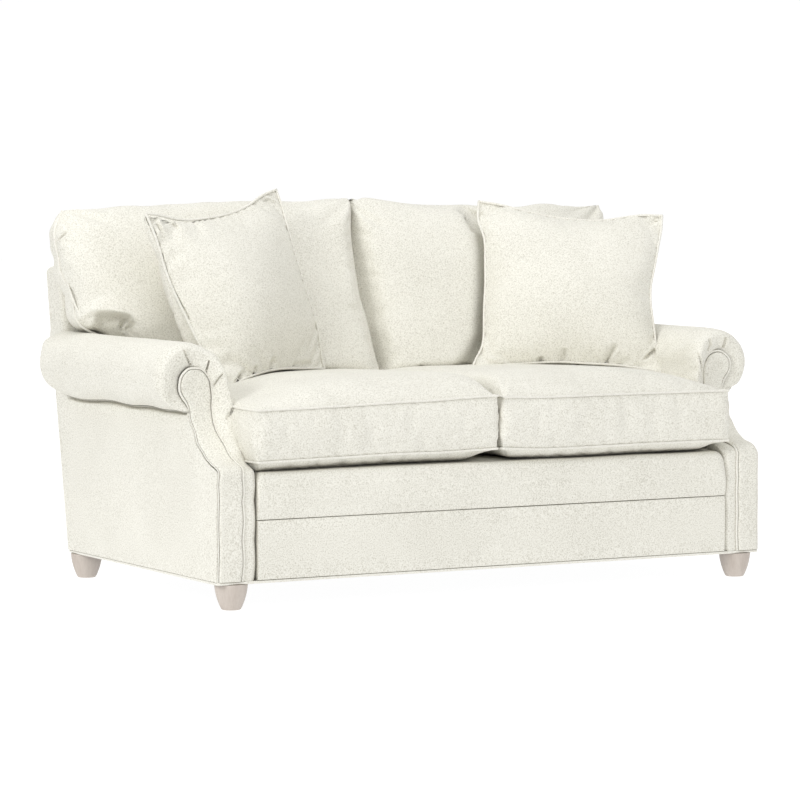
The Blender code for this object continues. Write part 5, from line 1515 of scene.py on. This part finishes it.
def back_cushion_point(side, a, b, front):
    drop = BACK_CUSHION_TOP_DROP * blend(TOP_SHARES[side], a)
    top_z = BACK_CUSHION_TOP - drop
    foot_outer = INNER_X - BACK_CUSHION_FOOT_DRAW
    outer = foot_outer + (BACK_CUSHION_OVERHANG - foot_outer) * blend(OVERHANG_SHARES, b)
    x = SLIDE_GAP + (outer - SLIDE_GAP) * a
    upper = max(1.0 - b**7, 0.0) ** (1.0 / 2.6)
    inner_power = 60 if side < 0 else 11
    face_power = inner_power if 2 * a < 1.0 else 7
    fullness = round_share(a, face_power, 3.2) * upper
    rear_fullness = round_share(a, 9, 3.2) * upper
    swell = BACK_CUSHION_BULGE * round_share(a, 2, 1) * upper
    y = BACK_CUSHION_Y
    for _ in range(3):
        seat_z = SEAT_TOP_WELT + (seat_plane(y) - SEAT_TOP_WELT) * seat_swell(side, side * x, y)
        rest_z = max(seat_z, seat_plane(y) - 0.030) + SLIDE_GAP
        z = rest_z * (1.0 - b) + top_z * b
        face = cushion_face_y(z)
        lean = back_y(z, BACK_FRAME_DEPTH) - SLIDE_GAP
        middle = face + (lean - face) * BACK_CUSHION_SEAM_SHARE
        if front:
            y = middle - (middle - face + swell) * fullness
        else:
            y = middle + (lean - middle) * rear_fullness
    return (side * x, y, z)


# The divide between the back cushions: height in the picture, place across it and shift right
DIVIDE_LINE = (
    (201, 337, 14.0), (208, 341, 10.6), (215, 344, 8.0), (224, 347, 5.8), (233, 349, 4.2), (252, 352.5, 3.0),
    (280, 357.5, 2.4), (305, 362, 3.0), (330, 366, 5.6), (350, 369.5, 6.6), (380, 374.0, 7.8),
)
DOWN, ACROSS, SHIFT = np.array(DIVIDE_LINE).T
DIVIDE_PULLS = tuple(
    (float(np.interp(y, DOWN, ACROSS)), y, float(np.interp(y, DOWN, SHIFT)), 0.0, 12)
    for y in range(201, 384, 6)
)
BACK_PULLS = {
    -1: (
        (46, 222, 1.5, 0.0, 12), (46.5, 242, 3.6, 0.0, 12), (49, 258, 5.6, 0.0, 10),
        (310, 198, 0.0, 3.0, 20), (250, 199, 0.0, 1.0, 24), (220, 199.5, 0.0, 3.0, 18),
        (190, 200, 0.0, 2.4, 20), (150, 202, 0.0, 1.0, 24), (102, 203, 0.0, 1.8, 14),
        (75, 206, 0.0, -1.6, 10),
    ) + DIVIDE_PULLS,
    1: (
        (352, 198, 0.0, 4.2, 7), (385, 199, 0.0, 1.0, 14), (445, 202, 0.0, 1.2, 18),
        (482, 202.5, 0.0, 2.4, 16), (515, 203, 0.0, 4.4, 20), (560, 204, 0.0, 0.6, 16),
        (590, 207, 8.0, -4.6, 8), (599, 212, 9.0, -3.4, 8), (605, 225, 2.0, 0.0, 10),
    ) + DIVIDE_PULLS,
}

# Hollows of the back cushions, as outlines in the picture
LEFT_TUCK = (
    (79, 325), (83, 318), (90, 313.6), (107.8, 313.3), (122, 315.6), (129, 318.2), (133, 323), (131, 350),
    (76, 350),
)
TUCK_FLOOR = ((100, 316), (128, 318), (133, 342), (92, 342))
RIGHT_GROOVE = (
    (459, 207), (468, 217), (476, 232), (480, 250), (481, 300), (478, 335), (470, 352), (459, 366),
    (466, 385), (640, 385), (645, 225), (560, 228), (500, 222), (478, 213), (466, 207.5),
)
DIVIDE_GROOVE = (
    (350, 203), (353, 218), (359, 240), (366, 262), (372, 284), (376, 306), (381, 330), (385, 352),
    (388, 380), (345, 390), (325, 300), (325, 195), (344, 195),
)
LEFT_BACK_SEAM = (
    (61.5, 214), (59.0, 217.4), (55.4, 223), (54.6, 230), (55.6, 242), (59.3, 259), (63.6, 271),
    (68, 284.4), (72.4, 297.8), (77.8, 310.4), (83.0, 317.4),
)
# Folds: points of the picture, depth, width, ridge, fade at the two ends, lean and refinement
BACK_FOLDS = {
    -1: (
        (((125.6, 319), (123, 325), (119, 332)), 0.0050, 0.0040, 0.0016, (0.2, 0.2), 0.6, 1),
        (((135, 323), (131, 327), (125.6, 332)), 0.0050, 0.0040, 0.0012, (0.2, 0.2), 0.6, 1),
    ),
    1: (
        (((456, 208), (465, 213.5), (472, 221.5), (478, 234)), 0.0150, 0.0095, 0.0, (0.3, 0.05), 0.0, 1),
    ),
}
LEFT_SIDE_FOLD = (
    ((69.0, 230.0), (64.4, 234.0), (60.2, 238.0), (57.2, 241.2)), 0.0070, 0.0022, 0.0010, (0.3, 0.2), 0.6, 2,
)


def back_details(obj, side):
    """Tucks, hollows and folds that the picture shows in a back cushion."""
    if side < 0:
        refine(obj, on_surface(obj, LEFT_TUCK[:-2]), 0.030, 2)
        press(obj, LEFT_TUCK, depth=0.034, soft=9.0, tilt=(66, 120))
        press(obj, TUCK_FLOOR, depth=0.022, soft=13.0)
    else:
        press(obj, RIGHT_GROOVE, depth=0.048, soft=11.0)
    for values in BACK_FOLDS[side]:
        fold(obj, *values)
    if side > 0:
        press(obj, DIVIDE_GROOVE, depth=0.024, soft=24.0)
        return
    seam = on_surface(obj, LEFT_BACK_SEAM)
    fold(obj, *LEFT_SIDE_FOLD)
    if len(seam) > 4:
        off = (seam - CAMERA_EYE) @ CAMERA_AHEAD
        at = np.arange(len(seam))
        even = np.polyval(np.polyfit(at, off, 2), at)
        seam = CAMERA_EYE + (seam - CAMERA_EYE) * (even / off)[:, None]
        seam = smooth_line(seam, 5)
        cord_piece("back_welt_left", seam, BACK_SEAM_CORD_RADIUS, BACK_CORD_SIDES, "back_cushion_left")


def back_cushion(side):
    """Loose cushion that leans on the raked back and hangs over the arm, with cord up its outer edge."""

    def place(front):
        def at(s, t):
            a = (1.0 - math.cos(s * math.pi)) / 2
            return back_cushion_point(side, a, math.sin(t * math.pi / 2), front)

        return at

    face = grid_of(place(True), 70, 78)
    rear = grid_of(place(False), 70, 78)
    rear[:, 0] = face[:, 0]
    rear[:, -1] = face[:, -1]
    rear[-1] = face[-1]
    sheets = Sheets()
    sheets.grid(face)
    sheets.grid(rear, flip=True)
    sheets.grid([face[0] + (rear[0] - face[0]) * t for t in np.linspace(0.0, 1.0, 12)], flip=True)
    name = side_name(side)
    body = "back_cushion_" + name
    obj = sheets.build("back_pad_" + name)
    places = coords(obj)
    edge = face[:, -1]
    near = line_distance(places, edge)[0]
    lean = np.array([back_y(z, BACK_FRAME_DEPTH) - SLIDE_GAP for z in places[:, 2]])
    pinned = (near < SEAM_REACH) | (places[:, 1] > lean - 0.003) | (places[:, 2] < seat_plane(0.25) + 0.004)
    inner = np.abs(places[:, 0]) < 0.004
    puff(obj, (pinned | inner).astype(float), pressure=4.0, cap=0.008, growth=0.02)
    edge = pull(edge, BACK_PULLS[side])
    set_coords(obj, pull(coords(obj), BACK_PULLS[side]))
    back_details(obj, side)
    add_piece(obj, "cushion_fabric", body, [body])
    cord_piece("back_piping_" + name, edge[4:-1:2], BACK_CORD_RADIUS, BACK_CORD_SIDES, body)


# Scatter pillows

# How each pillow turns, leans back and rolls, in degrees, its roundness and its crest's place
PILLOWS = {
    "left": (17.8, 17.2, 3.0, 2.2, 0.27),
    "right": (-29.0, 28.5, -2.6, 1.5, 0.0),
}

# Seams of the pillows as the picture shows them: bottom, right, top and left sides
PILLOW_SEAMS = {
    "left": (
        (
            (230.8, 386.6), (240, 380.4), (255, 375.0), (266.7, 371.0), (278.3, 369.2), (290, 368.0),
            (300, 368.8), (312, 368.8), (324.2, 368.8),
        ),
        (
            (324.2, 368.8), (321.2, 353.3), (318.4, 330), (313.6, 313.3), (306.8, 293.3), (299.0, 266.7),
            (291.6, 243), (285.6, 220), (282.4, 206), (281, 199.0), (275.6, 191.0),
        ),
        (
            (275.6, 191.0), (269.5, 189.6), (261.5, 195.0), (253, 203), (240, 210.5), (220, 216),
            (198, 219.6), (178, 220.4), (163, 216), (152, 212.5), (146.0, 214.0),
        ),
        (
            (146.0, 214.0), (149.5, 222), (153.3, 231), (157.8, 243.3), (163.3, 263.3), (170, 283.3),
            (177.8, 300), (186.5, 318), (196, 338), (207, 358), (219, 375), (230.8, 387.0),
        ),
    ),
    "right": (
        (
            (472.2, 368.6), (479, 366.8), (488.3, 365.8), (515, 364.2), (543.3, 362.5), (561.7, 361.7),
            (581.7, 363.3), (606.7, 364.2), (625, 365.8), (641.7, 368.3), (661.0, 372.0),
        ),
        (
            (661.0, 372.0), (658.3, 361.7), (656.2, 348), (654.5, 331.7), (652.0, 315), (650.0, 298),
            (650.6, 283), (653.6, 273), (656.4, 256.7), (658.8, 240), (662.8, 228), (663.4, 222),
            (661.0, 216.6),
        ),
        (
            (661.0, 216.6), (655.0, 213.8), (640, 215.4), (620, 218), (605, 221), (585, 220.5), (556.7, 218),
            (530, 212.5), (505, 206), (490, 202.5), (480.0, 202.0),
        ),
        (
            (480.0, 202.0), (474.5, 209.5), (479, 225), (485.8, 237.5), (485, 256.7), (485.8, 283),
            (484, 306.7), (483.7, 331.7), (484.2, 343), (480, 355), (473.5, 362), (472.2, 368.6),
        ),
    ),
}
# Left edge of the left pillow's rear face in the picture
LEFT_PILLOW_REAR = (
    (145.0, 220), (146.7, 232), (152.2, 248.9), (158.9, 270), (164.4, 296.7), (171.1, 316.7),
    (180, 337.8), (192, 356), (208, 375), (226, 386),
)
PILLOW_REACHES = (60.0, 26.0, 11.0)
# Folds: points of the picture, depth, width, ridge, fade at the two ends and lean
PILLOW_FOLDS = {
    "left": (
        (((151.5, 217), (156, 222), (161, 228.5), (165.5, 234.5)), 0.0090, 0.0028, 0.0026, (0.15, 0.5), 1.0),
        (((156, 214.5), (164, 218.5), (172, 223), (180, 228)), 0.0080, 0.0026, 0.0026, (0.15, 0.5), 1.0),
        (((262, 201), (268, 200), (274.5, 202.5), (279, 208)), 0.0046, 0.0024, 0.0010, (0.2, 0.3), 0.6),
        (
            (
                (148, 219.5), (154.2, 231), (158.7, 243.3), (164.2, 263.3), (170.9, 283.3), (178.7, 300),
                (188.4, 317), (190.6, 331),
            ),
            0.0046, 0.0019, 0.0, (0.06, 0.08), 0.0,
        ),
        (((237, 382.0), (241, 376), (247, 368)), 0.0110, 0.0044, 0.0020, (0.0, 0.6), 0.6),
        (((254, 375.0), (255, 370), (258, 364)), 0.0090, 0.0044, 0.0016, (0.0, 0.6), 0.6),
        (((270.5, 371), (272, 365), (275, 357)), 0.0180, 0.0080, 0.0020, (0.0, 0.6), 0.5),
        (((291.5, 368), (297, 365), (307, 363.5), (318, 364.5)), 0.0040, 0.0056, 0.0010, (0.1, 0.3), 0.8),
    ),
    "right": (
        (((565.8, 347), (564.8, 353), (563.3, 360)), 0.0100, 0.0032, 0.0020, (0.3, 0.0), 1.0),
        (((617, 343), (614.5, 350), (611.7, 355), (608.3, 362.8)), 0.0130, 0.0034, 0.0030, (0.3, 0.0), 1.6),
        (((596.4, 355), (597, 359), (597.6, 363)), 0.0045, 0.0032, 0.0012, (0.4, 0.0), 0.6),
        (((656, 349), (651, 353), (647, 357), (642, 361)), 0.0100, 0.0028, 0.0020, (0.2, 0.4), -1.0),
        (((541.7, 356), (541.5, 359), (541.7, 362)), 0.0090, 0.0050, 0.0010, (0.4, 0.0), 0.6),
        (((476, 206), (481, 212), (488, 219)), 0.0040, 0.0040, 0.0012, (0.1, 0.6), 0.8),
        (((660, 217), (654, 222), (646, 227)), 0.0040, 0.0040, 0.0012, (0.1, 0.6), 0.8),
    ),
}


def pillow(name):
    """Knife-edged pillow with ears, drawn to its seams in the picture, with folds and cord."""
    turn, lean, roll, roundness, offset = PILLOWS[name]
    rotation = np.array(
        Matrix.Rotation(math.radians(turn), 3, "Z")
        @ Matrix.Rotation(-math.radians(lean), 3, "X")
        @ Matrix.Rotation(-math.radians(roll), 3, "Y")
    )
    steps = 72
    half = PILLOW_SIZE / 2

    def half_of(power, thickness):
        def at(s, t):
            p = math.sin((s - 0.5) * math.pi)
            q = math.sin((t - 0.5) * math.pi)
            across = p + offset * (1.0 - p * p)
            fill = ((1.0 - across * across) * (1.0 - q * q)) ** power
            x = p * (half - PILLOW_DRAW * (1.0 - q * q))
            return (x, thickness * fill, q * (half - PILLOW_DRAW * (1.0 - p * p)))

        return at

    face = grid_of(half_of(PILLOW_FILL_POWER * roundness, -1.04 * PILLOW_HALF_THICKNESS), steps, steps)
    rear = grid_of(half_of(PILLOW_FILL_POWER, PILLOW_HALF_THICKNESS), steps, steps)
    every = np.vstack([face.reshape(-1, 3), rear.reshape(-1, 3)]) @ rotation.T
    centre = np.array(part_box("pillow_" + name)).mean(axis=0) - (every.min(axis=0) + every.max(axis=0)) / 2
    sheets = Sheets()
    sheets.grid(face)
    sheets.grid(rear, flip=True)
    obj = sheets.build("scatter_pillow_" + name)
    ring = rim_of(face)
    near = line_distance(coords(obj), closed_line(ring))[0]
    puff(obj, (near < PILLOW_SEAM_REACH).astype(float), pressure=5.0, cap=0.010, growth=0.03)
    set_coords(obj, coords(obj) @ rotation.T + centre)
    ring = ring @ rotation.T + centre
    closed = closed_line(ring)
    sides = [closed[k * steps : (k + 1) * steps + 1] for k in range(4)]
    shaped, ring = draw_to([coords(obj), ring], sides, PILLOW_SEAMS[name], PILLOW_REACHES)
    set_coords(obj, shaped)
    if name == "left":
        local = (coords(obj) - centre) @ rotation
        behind = ease(local[:, 1] / 0.012) * ease((0.05 - local[:, 0]) / 0.15)
        line = rear[::-1, 7] @ rotation.T + centre
        line = draw_to([line], sides, PILLOW_SEAMS[name], PILLOW_REACHES)[0]
        set_coords(obj, draw_to([coords(obj)], [line], [LEFT_PILLOW_REAR], (45.0, 18.0), [behind])[0])
    for values in PILLOW_FOLDS[name]:
        fold(obj, *values)
    body = "pillow_" + name
    add_piece(obj, "pillow_fabric", body, [body])
    cord = ring[::2] - CAMERA_AHEAD * PILLOW_CORD_PROUD
    cord_piece("pillow_piping_" + name, cord, PILLOW_CORD_RADIUS, LOOSE_CORD_SIDES, body, closed=True)


# Frame parts that stay as they are

def dress_frame():
    for name, obj in NODES.items():
        if obj.hide_render:
            continue
        slot = "spring_steel" if "spring" in name or "bolt" in name else "timber"
        obj.data.materials.clear()
        obj.data.materials.append(MATERIALS[slot])


# Floor, light and camera

LIGHT_TARGET = Vector((0.0, 0.0, 0.4))
# Place, size in metres and power in watts of each lamp
LAMPS = {
    "key": ((-5.2, -1.9, 3.0), 1.5, 84.0),
    "top": ((-0.6, -0.9, 4.4), 3.2, 46.0),
    "fill": ((1.0, -6.0, 2.6), 4.0, 8.0),
}
FLOOR_SIZE = 30.0
FLOOR_GLOW = 0.975
WORLD_STRENGTH = 1.01


def build_stage():
    """Floor that glows as painted light: nearly white where the camera sees it, its glow dimmer to the
    camera's left so that less of it lights the piece from below.
    """
    bm = bmesh.new()
    bmesh.ops.create_grid(bm, x_segments=2, y_segments=2, size=FLOOR_SIZE)
    mesh = bpy.data.meshes.new("floor")
    bm.to_mesh(mesh)
    bm.free()
    floor = bpy.data.objects.new("floor", mesh)
    bpy.context.scene.collection.objects.link(floor)
    material, tree, shader = new_material("glowing_floor")
    vector = object_vector(tree)
    tone = ramp_node(tree, noise_node(tree, vector, 1.5, 2.0, 0.5), ((0.3, grey(0.145)), (0.7, grey(0.155))))
    link(tree, tone, shader.inputs["Base Color"])
    shader.inputs["Roughness"].default_value = 0.9
    parts = tree.nodes.new("ShaderNodeSeparateXYZ")
    link(tree, vector, parts.inputs["Vector"])
    turn_x, turn_y = math.cos(CAMERA_YAW), math.sin(CAMERA_YAW)
    measures = []
    for x_share, y_share in ((-turn_x, turn_y), (turn_y, turn_x)):
        level = weighted(tree, parts.outputs["X"], x_share, parts.outputs["Y"], y_share)
        offset = -x_share * CAMERA_PLACE.x - y_share * CAMERA_PLACE.y
        measures.append(math_node(tree, "ADD", level, offset))
    # Painted light: the floor's glow is full where the camera sees it and falls off towards the camera's
    # left, out of sight, to cut the light it throws on the piece from below
    leftward = ramp_node(tree, math_node(tree, "DIVIDE", *measures), ((0.14, grey(1.0)), (0.42, grey(0.36))))
    link(tree, leftward, shader.inputs["Emission Color"])
    shader.inputs["Emission Strength"].default_value = FLOOR_GLOW
    mesh.materials.append(material)


def area_light(name, place, size, power):
    data = bpy.data.lights.new(name, "AREA")
    data.shape = "DISK"
    data.size = size
    data.energy = power
    obj = bpy.data.objects.new(name, data)
    obj.location = place
    obj.rotation_euler = (LIGHT_TARGET - Vector(place)).to_track_quat("-Z", "Y").to_euler()
    bpy.context.scene.collection.objects.link(obj)


def build_light():
    """A white sky, changed from each direction by a share of its own, and three soft lamps."""
    world = bpy.data.worlds.new("studio")
    bpy.context.scene.world = world
    world.use_nodes = True
    tree = world.node_tree
    background = tree.nodes["Background"]
    place = tree.nodes.new("ShaderNodeTexCoord")
    split = tree.nodes.new("ShaderNodeSeparateXYZ")
    link(tree, place.outputs["Generated"], split.inputs["Vector"])
    background.inputs["Color"].default_value = (1.0, 1.0, 1.0, 1.0)
    x, y, z = (split.outputs[axis] for axis in "XYZ")
    rightward = math_node(tree, "ADD", weighted(tree, x, 0.46, y, -0.20), 0.5)
    strength = WORLD_STRENGTH
    for direction, start, full, change in (
        (z, 0.09, 0.30, -0.20),
        (math_node(tree, "MULTIPLY", x, -1.0), 0.0, 0.8, -0.14),
        (math_node(tree, "MULTIPLY", y, -1.0), 0.1, 0.9, 0.16),
        (rightward, 0.66, 0.92, -0.50),
    ):
        share = ramp_node(tree, direction, ((start, grey(0.0)), (full, grey(1.0))))
        strength = math_node(tree, "MULTIPLY_ADD", share, change, strength)
    link(tree, strength, background.inputs["Strength"])
    for name, values in LAMPS.items():
        area_light(name, *values)


def build_camera():
    data = bpy.data.cameras.new("camera")
    data.lens = CAMERA_LENS
    data.sensor_width = SENSOR
    data.sensor_fit = "HORIZONTAL"
    data.clip_end = 100.0
    camera = bpy.data.objects.new("camera", data)
    camera.location = CAMERA_PLACE
    camera.rotation_euler = (math.radians(90) - CAMERA_PITCH, 0.0, -CAMERA_YAW)
    bpy.context.scene.collection.objects.link(camera)
    bpy.context.scene.camera = camera


def main():
    scene = bpy.context.scene
    scene.view_settings.view_transform = "Standard"
    scene.view_settings.look = "None"
    scene.view_settings.exposure = 0.0
    for side in (-1, 1):
        arm_cover(side)
        arm_facing(side)
        arm_piping(side)
        side_panel(side)
    border_upper()
    border_lower()
    base_piping()
    deck()
    under_cloth()
    back_cap()
    back_panel()
    feet()
    for side in (-1, 1):
        seat_cushion(side)
        back_cushion(side)
    pillow("left")
    pillow("right")
    dress_frame()
    build_stage()
    build_light()
    build_camera()


main()
